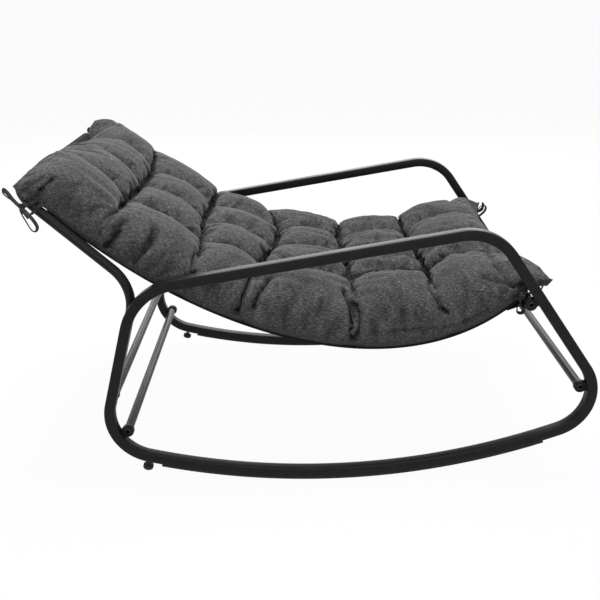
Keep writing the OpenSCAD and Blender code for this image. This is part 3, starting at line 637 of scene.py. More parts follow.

# %% [markdown]
# ## Cloth finishes
# The cushion's cover is a heather cloth: yarns spun of dark and light fibres, so short pale and dark slubs run
# both ways along the weave. The UV map holds metres along and across the cloth. Two noises stretched along the
# two yarn directions give the slubs, and two fine sine waves give the ribs of the weave as bump. On the cushion,
# a value kept on each point of the mesh multiplies the colour: painted shade in the creases, painted highlight on
# the ridges.

# %% Heather cloth and sling cloth
def woven(name, dark, mid, pale, pitch, fleck, relief, sheen, paints_fold_shade=False):
    mat, nodes, links, bsdf = new_material(name)
    uv = nodes.new("ShaderNodeUVMap")
    uv.uv_map = "cloth"
    warp = noise_at(mat, 1, 3, 0.6, uv.outputs["UV"], (fleck * 0.8, fleck * 5.5, 1))
    weft = noise_at(mat, 1, 3, 0.6, uv.outputs["UV"], (fleck * 5.5, fleck, 1))
    cloud = noise_at(mat, 9, 3, 0.5, uv.outputs["UV"])
    slub = math_node(mat, "ADD", math_node(mat, "MULTIPLY", warp, 0.72), math_node(mat, "MULTIPLY", weft, 0.28))
    tone = mix_colour(mat, ramp(mat, slub, 0.0, 1.0, 0.44, 0.60), dark, mid)
    bright = math_node(mat, "MAXIMUM", ramp(mat, warp, 0.0, 1.0, 0.58, 0.74), ramp(mat, weft, 0.0, 0.5, 0.60, 0.74))
    tone = mix_colour(mat, math_node(mat, "MULTIPLY", bright, 0.6), tone, pale)
    tone = mix_colour(mat, 0.35, tone, ramp(mat, cloud, 0.72, 1.0, 0.3, 0.7), "MULTIPLY")
    # Painted shade and painted highlight: the mesh's value multiplies the colour, from 0.15 in the deepest creases up
    # to 1 on the highest ridges.
    if paints_fold_shade:
        shade_in_creases = nodes.new("ShaderNodeAttribute")
        shade_in_creases.attribute_name = "shade_in_creases"
        tone = mix_colour(mat, 1.0, tone, ramp(mat, shade_in_creases.outputs["Fac"], 0.15, 1.0, 0.0, 1.0), "MULTIPLY")
    links.new(tone, bsdf.inputs["Base Color"])
    split = nodes.new("ShaderNodeSeparateXYZ")
    links.new(uv.outputs["UV"], split.inputs["Vector"])
    ribs = [math_node(mat, "SINE", math_node(mat, "MULTIPLY", split.outputs[k], 2 * math.pi / pitch)) for k in (0, 1)]
    weave = math_node(mat, "MULTIPLY", ribs[0], ribs[1])
    yarn = bump(mat, weave, 0.35, relief)
    links.new(bump(mat, slub, 0.5, relief * 2.2, yarn), bsdf.inputs["Normal"])
    links.new(ramp(mat, slub, 0.96, 0.84, 0.4, 0.65), bsdf.inputs["Roughness"])
    bsdf.inputs["Specular IOR Level"].default_value = 0.12
    bsdf.inputs["Sheen Weight"].default_value = sheen
    bsdf.inputs["Sheen Roughness"].default_value = 0.45
    bsdf.inputs["Sheen Tint"].default_value = (0.82, 0.82, 0.80, 1)
    return mat


cushion_cloth = woven("cushion_cloth", (0.041, 0.041, 0.0412), (0.130, 0.130, 0.125), (0.41, 0.41, 0.384),
                      0.0024, 140, 0.0003, 0.10, paints_fold_shade=True)
tie_tape = woven("tie_tape", (0.022, 0.022, 0.024), (0.048, 0.048, 0.049), (0.11, 0.11, 0.108),
                 0.0020, 130, 0.0003, 0.08)
sling_cloth = woven("sling_cloth", (0.010, 0.010, 0.011), (0.016, 0.016, 0.017), (0.034, 0.034, 0.036),
                    0.0022, 160, 0.0004, 0.03)
print("cloths made")


# %% UV helper
def cloth_uv(bm, place):
    """Fills the UV map from a function of the loop."""
    layer = bm.loops.layers.uv.get("cloth") or bm.loops.layers.uv.new("cloth")
    for face in bm.faces:
        for loop in face.loops:
            loop[layer].uv = place(loop)


# %% [markdown]
# ## Sling
# The sling is one length of dark cloth with a sleeve at each end. Its section is drawn once as a row of edges:
# from the seam of the upper sleeve round the top bar, down the bed, round the seat bar and back to the lower
# seam. Extruding that row across the chair makes the cloth. Near the top bar the cloth is cut narrower, so that
# it clears the bends of the back frame.

# %% Sling cloth
def sling_section():
    top_start, top_end = math.atan2(-start_n.y, -start_n.x) + 2 * math.pi, math.atan2(start_n.y, start_n.x)
    points = [bed(0.046, -0.0026)]
    for k in range(19):
        a = top_start + (top_end - top_start) * k / 18
        points.append((top_bar.x + wrap_r * math.cos(a), top_bar.y + wrap_r * math.sin(a)))
    for s in np.linspace(0.012, bed_len - 0.012, 110):
        points.append(bed(s, 0.0))
    low_start, low_end = math.atan2(end_n.y, end_n.x), math.atan2(-end_n.y, -end_n.x)
    for k in range(19):
        a = low_start + (low_end - low_start) * k / 18
        points.append((seat_bar.x + (wrap_r - 0.0005) * math.cos(a), seat_bar.y + (wrap_r - 0.0005) * math.sin(a)))
    points.append(bed(bed_len - 0.046, -0.0026))
    return [Vector((float(x), float(z))) for x, z in points]


section = sling_section()
run = [0.0]
for a, b in zip(section, section[1:]):
    run.append(run[-1] + (b - a).length)
sling_half, notch_half, columns = 0.297, 0.258, 28

bm = bmesh.new()
verts = [bm.verts.new(in_plane(p, -1.0)) for p in section]
edges = [bm.edges.new(pair) for pair in zip(verts, verts[1:])]
order = {v: k for k, v in enumerate(verts)}
for c in range(columns):
    made = bmesh.ops.extrude_edge_only(bm, edges=edges)["geom"]
    bmesh.ops.translate(bm, verts=[g for g in made if isinstance(g, bmesh.types.BMVert)], vec=(0, 2 / columns, 0))
    edges = new_edges(made)
bm.verts.ensure_lookup_table()
places = [Vector((p.x, p.y)) for p in section]
uv_of = {}
for v in bm.verts:
    here = Vector((v.co.x, v.co.z))
    k = min(range(len(places)), key=lambda n: (places[n] - here).length_squared)
    from_top = run[k] - 0.083
    open_up = min(1.0, max(0.0, (from_top - 0.046) / 0.030))
    half = notch_half + (sling_half - notch_half) * open_up * open_up * (3 - 2 * open_up)
    across = v.co.y
    sag = 0.0035 * (1 - across * across) * math.sin(math.pi * min(1, max(0, (from_top - 0.02) / (bed_len - 0.04))))
    droop = 0.001 * across ** 8 * math.exp(-((from_top - 0.10) / 0.06) ** 2)
    v.co.y = across * half
    v.co.z -= sag + droop
    uv_of[v] = (run[k], v.co.y)
cloth_uv(bm, lambda loop: uv_of[loop.vert])
bmesh.ops.recalc_face_normals(bm, faces=bm.faces[:])
sling = piece("sling_cloth", bm, sling_cloth, ["sling"], smooth=0)
thick = sling.modifiers.new("cloth_thickness", "SOLIDIFY")
thick.thickness, thick.offset = 0.0016, 0.0

# %% [markdown]
# ## Cushion
# The cushion is a cover of two panels sewn together round the rim, filled, and sewn through at tufts: five rows
# of three, so that six by four pillows stand between them. It is made flat, and bends on the chair, so the upper
# panel has more cloth than the bend has room for. The upper panel starts as a grid laid over the bed, dipped at
# the tufts. A cloth simulation with pressure then blows it up against its tufts and its seam, while the cloth
# tries to keep the lengths of the flat panel. That makes the pillows and the folds that run from tuft to tuft.

# %% Cushion measures
s_back, s_front, half_w, tuft_h = -0.014, 1.200, 0.297, 0.056
crown_at = [-0.016, 0.014, 0.054, 0.104, 0.164, 0.314, 0.474, 0.614, 0.714, 0.874, 0.994, 1.074, 1.144, 1.214]
crown_to = [0.066, 0.074, 0.084, 0.092, 0.096, 0.102, 0.109, 0.120, 0.125, 0.130, 0.126, 0.122, 0.106, 0.090]
# The seam's height above the bed and its distance from the middle, near side and far side, along the bed
rim_at = [-0.016, 0.000, 0.014, 0.026, 0.036, 0.050, 0.080, 0.214, 0.514, 1.014, 1.144, 1.204]
rim_near = [-0.013, -0.011, -0.012, -0.012, -0.004, 0.006, 0.009, 0.011, 0.013, 0.013, 0.013, 0.018]
rim_far = [0.030, 0.024, 0.019, 0.015, 0.013, 0.012, 0.012, 0.012, 0.013, 0.013, 0.014, 0.022]
wide_near = [0.292, 0.302, 0.309, 0.313, 0.312, 0.308, 0.304, 0.300, 0.297, 0.297, 0.297, 0.294]
wide_far = [0.288, 0.292, 0.296, 0.299, 0.300, 0.301, 0.301, 0.299, 0.297, 0.297, 0.296, 0.290]
# The same along the two ends, from the near side to the far side: height, and how far the end stands out
end_at = [-1.0, -0.85, -0.5, 0.0, 0.25, 0.5, 0.8, 0.92, 1.0]
back_rim = [-0.013, -0.008, -0.002, -0.002, -0.003, -0.002, 0.000, 0.014, 0.030]
back_out = [-0.004, -0.002, 0.002, -0.008, -0.020, -0.034, -0.026, -0.006, 0.003]
front_rim = [0.018, 0.008, 0.002, 0.0, 0.002, 0.004, 0.008, 0.014, 0.022]
front_out = [0.019, 0.016, -0.016, -0.018, -0.019, -0.019, -0.014, -0.006, 0.004]
tuft_rows = [0.189, 0.374, 0.554, 0.757, 0.977]
tuft_cols = [-0.143, 0.0, 0.143]
# How far each tuft of a row stands ahead of its row: near seam, three tufts, far seam, in metres
row_shift = [[-0.010, -0.006, 0.004, 0.004, -0.046], [0.014, 0.006, -0.004, 0.000, 0.004],
             [-0.026, -0.022, 0.014, 0.022, -0.050], [0.012, 0.008, 0.002, -0.006, 0.008],
             [0.008, 0.004, 0.000, -0.010, -0.006]]
tie_pinch = 0.036
cell_m = 0.0075


def spread(x, y, step, tight):
    """Splits a line given by fine points into steps that shorten near the places in tight."""
    length = np.concatenate([[0], np.cumsum(np.hypot(np.diff(x), np.diff(y)))])
    crowd = 1 + 1.6 * np.sum([np.exp(-((x - place) / 0.010) ** 2) for place in tight], axis=0)
    weight = np.concatenate([[0], np.cumsum((crowd[1:] + crowd[:-1]) / 2 * np.diff(length))])
    at = np.linspace(0, weight[-1], int(round(weight[-1] / step)) + 1)
    lines = np.interp(at, weight, x)
    for place in tight:
        lines[np.abs(lines - place).argmin()] = place
    return lines, np.interp(lines, x, length)


fine = np.linspace(-1, 1, 4001)
end_drop = np.sqrt(np.maximum(0, 1 - np.abs(fine) ** 12))
side_drop = np.sqrt(np.maximum(0, 1 - np.abs(fine) ** 7))
mid_s, half_s = (s_back + s_front) / 2, (s_front - s_back) / 2
grid_s, cloth_u = spread(mid_s + half_s * fine, 0.080 * end_drop, cell_m, [tie_pinch, *tuft_rows])
grid_y, cloth_v = spread(half_w * fine, 0.095 * side_drop, cell_m, tuft_cols)
rows_n, cols_n = len(grid_s), len(grid_y)
print("cushion grid:", rows_n, "by", cols_n)


# %% Cushion start shape
def fall(distance, width):
    """A narrow valley: one in the middle, fading to nothing."""
    return np.exp(-(np.sqrt(distance ** 2 + 0.002 ** 2) - 0.002) / width)


def pressed(distance, radius):
    """The gap between two round pillows that press on each other: one at the crease, nothing past radius."""
    return 1 - np.sqrt(1 - (1 - np.clip(distance / radius, 0, 1)) ** 2)


def grain(s, y, across_s, across_y, seed):
    """Smooth noise over a grid, with so many waves to the metre along and across."""
    spots = zip((s * across_s).ravel(), (y * across_y).ravel())
    return np.array([noise.noise(Vector((a, b, seed))) for a, b in spots]).reshape(s.shape)


S, Yg = np.meshgrid(grid_s, grid_y, indexing="ij")
A, B = (S - mid_s) / half_s, Yg / half_w
ear = np.full(S.shape, 1.0)
for end, side_of, reach in ((-1, -1, 0.020), (-1, 1, 0.016), (1, -1, 0.095), (1, 1, 0.045)):
    away = np.hypot(S - (mid_s + end * half_s), Yg - side_of * half_w)
    ear = np.minimum(ear, np.clip(away / reach, 0, 1))
blunt = 7 + 11 * np.exp(-((S - s_back) / 0.05) ** 2)
lift = (np.sqrt(np.maximum(0, 1 - np.abs(A) ** 12)) * np.sqrt(np.maximum(0, 1 - np.abs(B) ** blunt))
        * np.sin(ear * math.pi / 2) ** 0.6)
row_gap = np.min([np.abs(S - r) for r in tuft_rows], axis=0)
col_gap = np.min([np.abs(Yg - c) for c in tuft_cols], axis=0)
crown = np.interp(S, crown_at, crown_to)
back_end = np.exp(-((S - s_back) / 0.07) ** 2)
crown = crown + back_end * (0.028 * np.clip((B - 0.45) / 0.3, 0, 1) + 0.018 * np.clip((-0.2 - B) / 0.4, 0, 1))
front_end = np.exp(-((S - s_front) / 0.07) ** 2)
crown = crown - front_end * 0.028 * np.clip((-0.2 - B) / 0.4, 0, 1)
crown = crown + 0.008 * np.clip((B - 0.45) / 0.3, 0, 1) * np.clip((S - 0.06) / 0.08, 0, 1)
swell, crease = grain(S, Yg, 8, 8, 3.1), grain(S, Yg, 30, 30, 8.4)
row_dip, col_dip = 0.036, 0.032
pull = np.zeros_like(S)
for r in tuft_rows:
    for c in tuft_cols:
        pull = np.maximum(pull, pressed(np.hypot(S - r, Yg - c), 0.052))
far_side = np.clip((B - 0.55) / 0.3, 0, 1)
col_part = np.clip((S - 0.055) / 0.08, 0, 1) * np.clip((s_front - 0.03 - S) / 0.09, 0, 1)
off_wall = np.sin(np.clip((B + 0.98) / 0.38, 0, 1) * math.pi / 2) ** 2
first_row = np.exp(-((S - tuft_rows[0]) / 0.08) ** 2)
row_press = pressed(row_gap, 0.100) * (1 - (0.55 + 0.30 * first_row) * far_side) * (0.25 + 0.75 * off_wall)
col_press = pressed(col_gap, 0.0715) * col_part
both = np.minimum(row_dip + col_dip, 0.8 * (crown - tuft_h))
dip = (row_dip * row_press + col_dip * col_press - (row_dip + col_dip - both) * row_press * col_press
       + (crown - tuft_h - both) * pull)
to_end, to_side = (1 - np.abs(A)) * half_s, (1 - np.abs(B)) * half_w
side_rim = np.where(B < 0, np.interp(S, rim_at, rim_near), np.interp(S, rim_at, rim_far))
end_rim = np.where(A < 0, np.interp(B, end_at, back_rim), np.interp(B, end_at, front_rim))
rim = (side_rim * to_end + end_rim * to_side) / (to_end + to_side + 1e-9)
rim[[0, 0, -1, -1], [0, -1, 0, -1]] = side_rim[[0, 0, -1, -1], [0, -1, 0, -1]]
H = rim * (1 - lift) + (crown - dip + 0.004 * swell + 0.0012 * crease) * lift
shift = np.zeros_like(S)
knots_y = [-half_w, *tuft_cols, half_w]
for r, moves, before, after in zip(tuft_rows, row_shift, [s_back, *tuft_rows[:-1]], [*tuft_rows[1:], s_front]):
    reach = np.where(S < r, (S - before) / (r - before), (after - S) / (after - r))
    shift += np.interp(Yg, knots_y, moves) * np.clip(reach, 0, 1)
width = np.where(B < 0, np.interp(S, rim_at, wide_near), np.interp(S, rim_at, wide_far))
fold_in = np.where(B < 0, 0.006, 0.011) * np.max([fall(S - r, 0.012) for r in tuft_rows], axis=0)
drawn = width / half_w - fold_in / half_w * np.abs(B) ** 4 * np.clip(lift * 2.5, 0, 1)
end_move = np.where(A < 0, -np.interp(B, end_at, back_out), np.interp(B, end_at, front_out))
S2 = S + shift + (end_move - 0.008 * fall(col_gap, 0.020) * (A > 0)) * np.abs(A) ** 10
X, Z = bed(S2, H + 0.0014)
start_shape = np.stack([X, Yg * drawn, Z], axis=-1)
print("cushion start, highest point", round(float(Z.max()), 3))


# %% Upper panel as a mesh
def panel(shape, u, v, fold_shade_table=None):
    """A grid of quads over a table of points, made by the grid operator, with its UV map in metres."""
    bm = bmesh.new()
    # Each point keeps a value for the painted shade of the cloth. Without a table, every point takes 0.5, which paints
    # the panel a little darker than the even parts of the upper panel.
    shade_in_creases = bm.verts.layers.float.new("shade_in_creases")
    n, m = shape.shape[0], shape.shape[1]
    bmesh.ops.create_grid(bm, x_segments=n - 1, y_segments=m - 1, size=0.5)
    bm.verts.ensure_lookup_table()
    key = {}
    for vert in bm.verts:
        i, j = int(round((vert.co.x + 0.5) * (n - 1))), int(round((vert.co.y + 0.5) * (m - 1)))
        key[vert] = (i, j)
    for vert, (i, j) in key.items():
        vert.co = Vector(shape[i, j].tolist())
        vert[shade_in_creases] = 0.5 if fold_shade_table is None else float(fold_shade_table[i, j])
    cloth_uv(bm, lambda loop: (float(u[key[loop.vert][0]]), float(v[key[loop.vert][1]])))
    ids = np.array([key[vert] for vert in bm.verts])
    return bm, ids


bm, ids = panel(start_shape, cloth_u, cloth_v)
mesh = bpy.data.meshes.new("cushion_start")
bm.to_mesh(mesh)
bm.free()
blown = bpy.data.objects.new("cushion_start", mesh)
scene.collection.objects.link(blown)

# %% Blow up the panel
def line_at(lines, place):
    return int(np.abs(lines - place).argmin())


hold = np.zeros(S.shape)
for c in tuft_cols:
    hold[(grid_s > 0.09) & (grid_s < s_front - 0.09), line_at(grid_y, c)] = 0.86
for r in tuft_rows:
    i = line_at(grid_s, r)
    hold[i, 1:-1] = 0.8 * off_wall[i, 1:-1]
    for c in tuft_cols:
        j = line_at(grid_y, c)
        hold[i - 1:i + 2, j] = hold[i, j - 1:j + 2] = 0.95
        hold[i, j] = 1.0
hold[0, :] = hold[-1, :] = 1.0
hold[:, 0] = hold[:, -1] = 1.0
pins = blown.vertex_groups.new(name="sewn")
for k, (i, j) in enumerate(ids):
    if hold[i, j] > 0.02:
        pins.add([k], float(hold[i, j]), "REPLACE")
cloth = blown.modifiers.new("cover", "CLOTH")
set_up = cloth.settings
set_up.shrink_min = -0.06
set_up.quality = 6
set_up.mass = 0.25
set_up.tension_stiffness = set_up.compression_stiffness = 18
set_up.shear_stiffness = 8
set_up.bending_stiffness = 0.5
set_up.tension_damping = set_up.compression_damping = 14
set_up.air_damping = 2.0
set_up.vertex_group_mass = "sewn"
set_up.pin_stiffness = 8.0
set_up.use_pressure = True
set_up.uniform_pressure_force = 5.0
set_up.effector_weights.gravity = 0
cloth.collision_settings.use_collision = False
cloth.point_cache.frame_start, cloth.point_cache.frame_end = 1, 30
for f in range(1, 31):
    scene.frame_set(f)
shown = blown.evaluated_get(bpy.context.evaluated_depsgraph_get())
blown_xyz = np.empty(len(mesh.vertices) * 3)
shown.data.vertices.foreach_get("co", blown_xyz)
blown_xyz = blown_xyz.reshape(-1, 3)
blown.modifiers.remove(cloth)
scene.frame_set(1)
top_shape = np.empty_like(start_shape)
top_shape[ids[:, 0], ids[:, 1]] = blown_xyz
moved = top_shape - start_shape
far = np.linalg.norm(moved, axis=-1, keepdims=True)
cap = 0.030
top_shape = start_shape + moved * np.minimum(1, cap / np.maximum(far, 1e-9))
bpy.data.objects.remove(blown)
print("cover moved by up to", round(float(far.max()), 4), "m, on average", round(float(far.mean()), 4))

# %% [markdown]
# ## Folds of the cover
# The simulation gives the swell. The sharp folds of a cover that is pulled at its tufts and ties are pressed in
# afterwards, on a grid twice as fine. Each fold is a short line on the cloth, given by its place along the bed
# and its way up the side from the seam, and the cloth near that line moves in, or out for a ridge. The lines of
# stitching get a narrow crease, and small wrinkles run out from every row of tufts.

# %% Finer grid
def finer(table):
    """The same table with a point of a cubic curve set between every two rows and every two columns."""
    for axis in (0, 1):
        t = np.moveaxis(table, axis, 0)
        wide = np.concatenate([2 * t[:1] - t[1:2], t, 2 * t[-1:] - t[-2:-1]])
        out = np.empty((2 * len(t) - 1,) + t.shape[1:])
        out[0::2], out[1::2] = t, (9 * (wide[1:-2] + wide[2:-1]) - wide[:-3] - wide[3:]) / 16
        table = np.moveaxis(out, 0, axis)
    return table


top_shape = finer(top_shape)
S, Yg, S2, rim, drawn = [finer(table) for table in (S, Yg, S2, rim, drawn)]
lift, col_part, off_wall = [finer(table) for table in (lift, col_part, off_wall)]
cloth_u, cloth_v = finer(np.stack([cloth_u, cloth_u], 1))[:, 0], finer(np.stack([cloth_v, cloth_v], 1))[:, 0]
to_end, to_side = half_s - np.abs(S - mid_s), half_w - np.abs(Yg)
row_gap = np.min([np.abs(S - r) for r in tuft_rows], axis=0)
col_gap = np.min([np.abs(Yg - c) for c in tuft_cols], axis=0)
print("fine grid:", S.shape)

# %% Folds and wrinkles
# Folds of the near side: points (along the bed, up from the seam), depth (less than nothing: a ridge) and width
near_folds = [
    ([(0.034, 0.000), (0.035, 0.016), (0.036, 0.040), (0.038, 0.066)], 0.014, 0.0032),
    ([(0.010, 0.010), (0.016, 0.036), (0.022, 0.060)], 0.005, 0.0050),
    ([(0.181, 0.112), (0.176, 0.088), (0.168, 0.060), (0.167, 0.034)], 0.006, 0.0060),
    ([(0.206, 0.075), (0.209, 0.050), (0.209, 0.022), (0.206, 0.002)], 0.015, 0.0060),
    ([(0.178, 0.100), (0.151, 0.108), (0.097, 0.106)], -0.004, 0.0070),
    ([(0.175, 0.096), (0.149, 0.084), (0.130, 0.066)], -0.004, 0.0070),
    ([(0.154, 0.082), (0.137, 0.066), (0.141, 0.040)], 0.006, 0.0070),
    ([(0.269, 0.090), (0.278, 0.055), (0.271, 0.006)], 0.013, 0.0065),
    ([(0.374, 0.100), (0.376, 0.080), (0.385, 0.056), (0.388, 0.010)], 0.018, 0.0044),
    ([(0.512, 0.096), (0.509, 0.045), (0.509, 0.004)], 0.024, 0.0046),
    ([(0.557, 0.100), (0.544, 0.056), (0.543, 0.026)], 0.022, 0.0046),
    ([(0.738, 0.104), (0.742, 0.088), (0.756, 0.068), (0.763, 0.016), (0.770, 0.000)], 0.022, 0.0046),
    ([(0.766, 0.084), (0.782, 0.058), (0.784, 0.030), (0.777, 0.008)], 0.015, 0.0046),
    ([(0.980, 0.126), (0.972, 0.112), (0.966, 0.086), (0.977, 0.054), (0.994, 0.036)], 0.013, 0.0042),
    ([(0.871, 0.108), (0.884, 0.078), (0.889, 0.052)], 0.006, 0.0080),
    ([(0.640, 0.110), (0.650, 0.080), (0.648, 0.050)], 0.004, 0.0080),
    ([(1.172, 0.018), (1.145, 0.046), (1.112, 0.072)], 0.007, 0.0050),
    ([(0.800, 0.017), (0.915, 0.019), (0.990, 0.010), (1.080, 0.006)], 0.0060, 0.0026),
]


def gap_to(points, u, v):
    """Distance of every grid point (u, v) from a line of points."""
    best = np.full(u.shape, 9.0)
    for (a, b), (c, d) in zip(points, points[1:]):
        t = np.clip(((u - a) * (c - a) + (v - b) * (d - b)) / ((c - a) ** 2 + (d - b) ** 2), 0, 1)
        best = np.minimum(best, np.hypot(u - a - t * (c - a), v - b - t * (d - b)))
    return best


up_near = (cloth_v - cloth_v[0])[None, :] * np.ones_like(S)
press = np.zeros_like(S)
for points, depth, wide in near_folds:
    gap = gap_to(points, S2, up_near)
    press += depth * (np.exp(-gap / wide) if depth > 0 else np.exp(-(gap / wide) ** 2)) * (up_near < 0.18)
inside = np.clip(lift * 1.5 - 0.4, 0, 1)
stitched = 0.013 * fall(col_gap, 0.0032) * col_part + 0.009 * fall(row_gap, 0.0035) * off_wall
deepest = 0.025
press = np.minimum(press + stitched * inside * np.clip(1 - press / deepest, 0, 1), deepest)
rays = np.zeros_like(S)
for n, r in enumerate(tuft_rows):
    for m, c in enumerate(tuft_cols):
        away, turn_at = np.hypot(S - r, Yg - c), np.arctan2(Yg - c, S - r)
        rays += np.cos(turn_at * 7 + 1.7 * n + 2.3 * m) * np.exp(-((away - 0.028) / 0.016) ** 2)
tucks = 0.28 - np.abs(grain(S, Yg, 11, 55, 5.7))
creases = 0.28 - np.abs(grain(S + 0.4 * Yg, Yg, 9, 38, 2.9))
seat_part = np.clip((S - 0.45) / 0.2, 0.35, 1)
slack = 0.25 - np.abs(grain(S + 0.5 * up_near, up_near, 12, 9, 4.2)) + 0.4 * grain(S - 0.4 * up_near, up_near, 30, 8, 6.1)
slack = slack * np.clip(1.6 - up_near / 0.075, 0, 1) * np.clip((S - 0.05) / 0.25, 0.35, 1)
wrinkle = (0.0010 * rays + 0.0065 * tucks * fall(row_gap, 0.034) + 0.0080 * creases * seat_part) * inside
wrinkle = wrinkle + 0.0150 * slack * np.clip(lift * 3, 0, 1)
facing = np.cross(np.gradient(top_shape, axis=0), np.gradient(top_shape, axis=1))
facing /= np.linalg.norm(facing, axis=-1, keepdims=True) + 1e-12
inner = np.ones_like(S)
inner[[0, -1], :] = inner[:, [0, -1]] = 0
top_shape = top_shape + facing * ((wrinkle - press) * inner)[..., None]
even = top_shape
for _ in range(30):
    even = np.concatenate([even[:1], (even[:-2] + 2 * even[1:-1] + even[2:]) / 4, even[-1:]], axis=0)
    even = np.concatenate([even[:, :1], (even[:, :-2] + 2 * even[:, 1:-1] + even[:, 2:]) / 4, even[:, -1:]], axis=1)
# Painted shade and painted highlight: points below the smoothed cover are marked to darken the cloth, as shade in the
# creases. Points above it are marked to lighten the cloth, as light on the ridges.
above = np.sum((top_shape - even) * facing, axis=-1)
painted_fold_shade = np.clip(0.64 + above * np.where(above < 0, 68, 76), 0, 1)
print("folds pressed in by up to", round(float(press.max()), 4), "m; ridges stand up to",
      round(float(above.max()), 4), "m above the even cover, creases", round(float(-above.min()), 4), "m below")

# %% Close the cushion with its lower panel
tuck = (1 - np.clip(np.minimum(to_side, to_end) / 0.005, 0, 1)) ** 1.5
floor_h = np.where(np.abs(Yg * drawn) > 0.296, 0.0016, 0.0)
XL, ZL = bed(S2, rim * tuck + floor_h * (1 - tuck) + 0.0014)
low_shape = np.stack([XL, Yg * drawn, ZL], axis=-1)
low_shape[0], low_shape[-1], low_shape[:, 0], low_shape[:, -1] = (
    top_shape[0], top_shape[-1], top_shape[:, 0], top_shape[:, -1])
bm, ids = panel(top_shape, cloth_u, cloth_v, painted_fold_shade)
low, _ = panel(low_shape, cloth_u, cloth_v)
bmesh.ops.reverse_faces(low, faces=low.faces[:])
low_mesh = bpy.data.meshes.new("cushion_low")
low.to_mesh(low_mesh)
low.free()
bm.from_mesh(low_mesh)
bpy.data.meshes.remove(low_mesh)
bmesh.ops.remove_doubles(bm, verts=[v for v in bm.verts if v.is_boundary], dist=0.00001)
bmesh.ops.recalc_face_normals(bm, faces=bm.faces[:])
print("open edges left:", sum(e.is_boundary for e in bm.edges))
cushion = piece("cushion_cover", bm, cushion_cloth, ["cushion"], smooth=0)

# %% [markdown]
# ## Ties
# At each corner a folded tape is sewn into the seam, passes round the tube and ends in a bow. The route's points
# are those of the solid, smoothed into one curve. A flat ring is extruded from point to point along it, turning
# as little as it can, as a real tape does.

# %% Tape bench
back_route = [
    (-535, 262, 645), (-537, 284, 632), (-533, 301, 618), (-535, 316, 615), (-545, 322, 606), (-555, 315, 597),
    (-557, 301, 597), (-549, 292, 608), (-542, 297, 619), (-541, 310, 623), (-548, 323, 622), (-559, 331, 622),
    (-572, 333, 625), (-586, 333, 634), (-598, 332, 644), (-597, 335, 653), (-588, 338, 647), (-578, 340, 634),
    (-566, 341, 621), (-554, 341, 608), (-543, 341, 593), (-537, 340, 579), (-541, 340, 570), (-549, 340, 573),
    (-556, 341, 588), (-562, 345, 605), (-563, 350, 617), (-555, 350, 611), (-548, 350, 600)]
wrap_route = [
    (484, 254, 458), (488, 279, 434), (476, 297, 420), (459, 301, 418), (447, 302, 419), (436, 302, 412),
    (434, 302, 399), (442, 302, 389), (455, 303, 387), (466, 305, 395), (467, 309, 409)]
front_left_route = wrap_route + [
    (474, 309, 415), (482, 308, 423), (490, 306, 433), (499, 304, 438), (505, 303, 431), (501, 302, 420),
    (491, 302, 410), (481, 303, 402), (476, 304, 390), (479, 305, 378), (486, 305, 375), (491, 306, 384),
    (487, 309, 396), (482, 312, 406), (474, 313, 398)]
front_right_route = wrap_route + [
    (458, 311, 419), (446, 311, 422), (434, 311, 422), (424, 311, 425), (416, 312, 419), (421, 313, 412),
    (431, 314, 411), (433, 314, 402), (427, 314, 391), (428, 314, 381), (437, 314, 379), (441, 314, 386),
    (436, 316, 394)]
tape_w, tape_t = 0.0090, 0.0024


def smooth_route(points, steps=5):
    p = [Vector(q) / 1000 for q in points]
    p = [2 * p[0] - p[1]] + p + [2 * p[-1] - p[-2]]
    line = []
    for a, b, c, d in zip(p, p[1:], p[2:], p[3:]):
        for k in range(steps):
            t = k / steps
            line.append(0.5 * (2 * b + (c - a) * t + (2 * a - 5 * b + 4 * c - d) * t * t
                               + (3 * b - 3 * c + d - a) * t ** 3))
    return line + [p[-2]]


def add_tape(bm, line, first_up):
    uvs, long = {}, 0.0
    flat = [(-0.5, 0), (-0.44, 0.36), (-0.3, 0.5), (0, 0.40), (0.3, 0.5), (0.44, 0.36), (0.5, 0), (0.44, -0.36),
            (0.3, -0.5), (0, -0.40), (-0.3, -0.5), (-0.44, -0.36)]
    ring, up, old, facing = None, first_up, None, Y * (1 if first_up.y > 0 else -1)
    for k, spot in enumerate(line):
        way = (line[min(k + 1, len(line) - 1)] - line[max(k - 1, 0)]).normalized()
        lean = way.cross(Y) + facing * 0.40
        up = up * 0.75 + lean * (0.25 if up.dot(lean) > 0 else -0.25)
        up = (up - way * up.dot(way)).normalized()
        here = Matrix.Translation(spot) @ Matrix((way.cross(up), up, way)).transposed().to_4x4()
        if ring is None:
            verts = [bm.verts.new(here @ Vector((x * tape_w, y * tape_t, 0))) for x, y in flat]
            ring = [bm.edges.new((verts[n], verts[(n + 1) % len(verts)])) for n in range(len(verts))]
            bmesh.ops.edgeloop_fill(bm, edges=ring)
        else:
            long += (spot - line[k - 1]).length
            made = bmesh.ops.extrude_edge_only(bm, edges=ring)["geom"]
            verts = [g for g in made if isinstance(g, bmesh.types.BMVert)]
            bmesh.ops.transform(bm, verts=verts, matrix=here @ old.inverted())
            ring = new_edges(made)
        for v in verts:
            uvs[v] = (long, ((here.inverted() @ v.co).x))
        old = here
    bmesh.ops.edgeloop_fill(bm, edges=ring)
    bmesh.ops.recalc_face_normals(bm, faces=bm.faces[:])
    cloth_uv(bm, lambda loop: uvs[loop.vert])
    return long


# %% Bows
def knot(name, place, axis):
    bm = bmesh.new()
    ring = []
    for k in range(10):
        a = 2 * math.pi * k / 10
        ring.append((0.0056 + 0.0028 * math.cos(a), 0.0054 * math.sin(a)))
    turned(bm, ring, place, axis, 20)
    bmesh.ops.recalc_face_normals(bm, faces=bm.faces[:])
    cloth_uv(bm, lambda loop: ((loop.vert.co - place).dot(axis), (loop.vert.co - place).length * 3))
    return piece(name, bm, tie_tape, smooth=0)


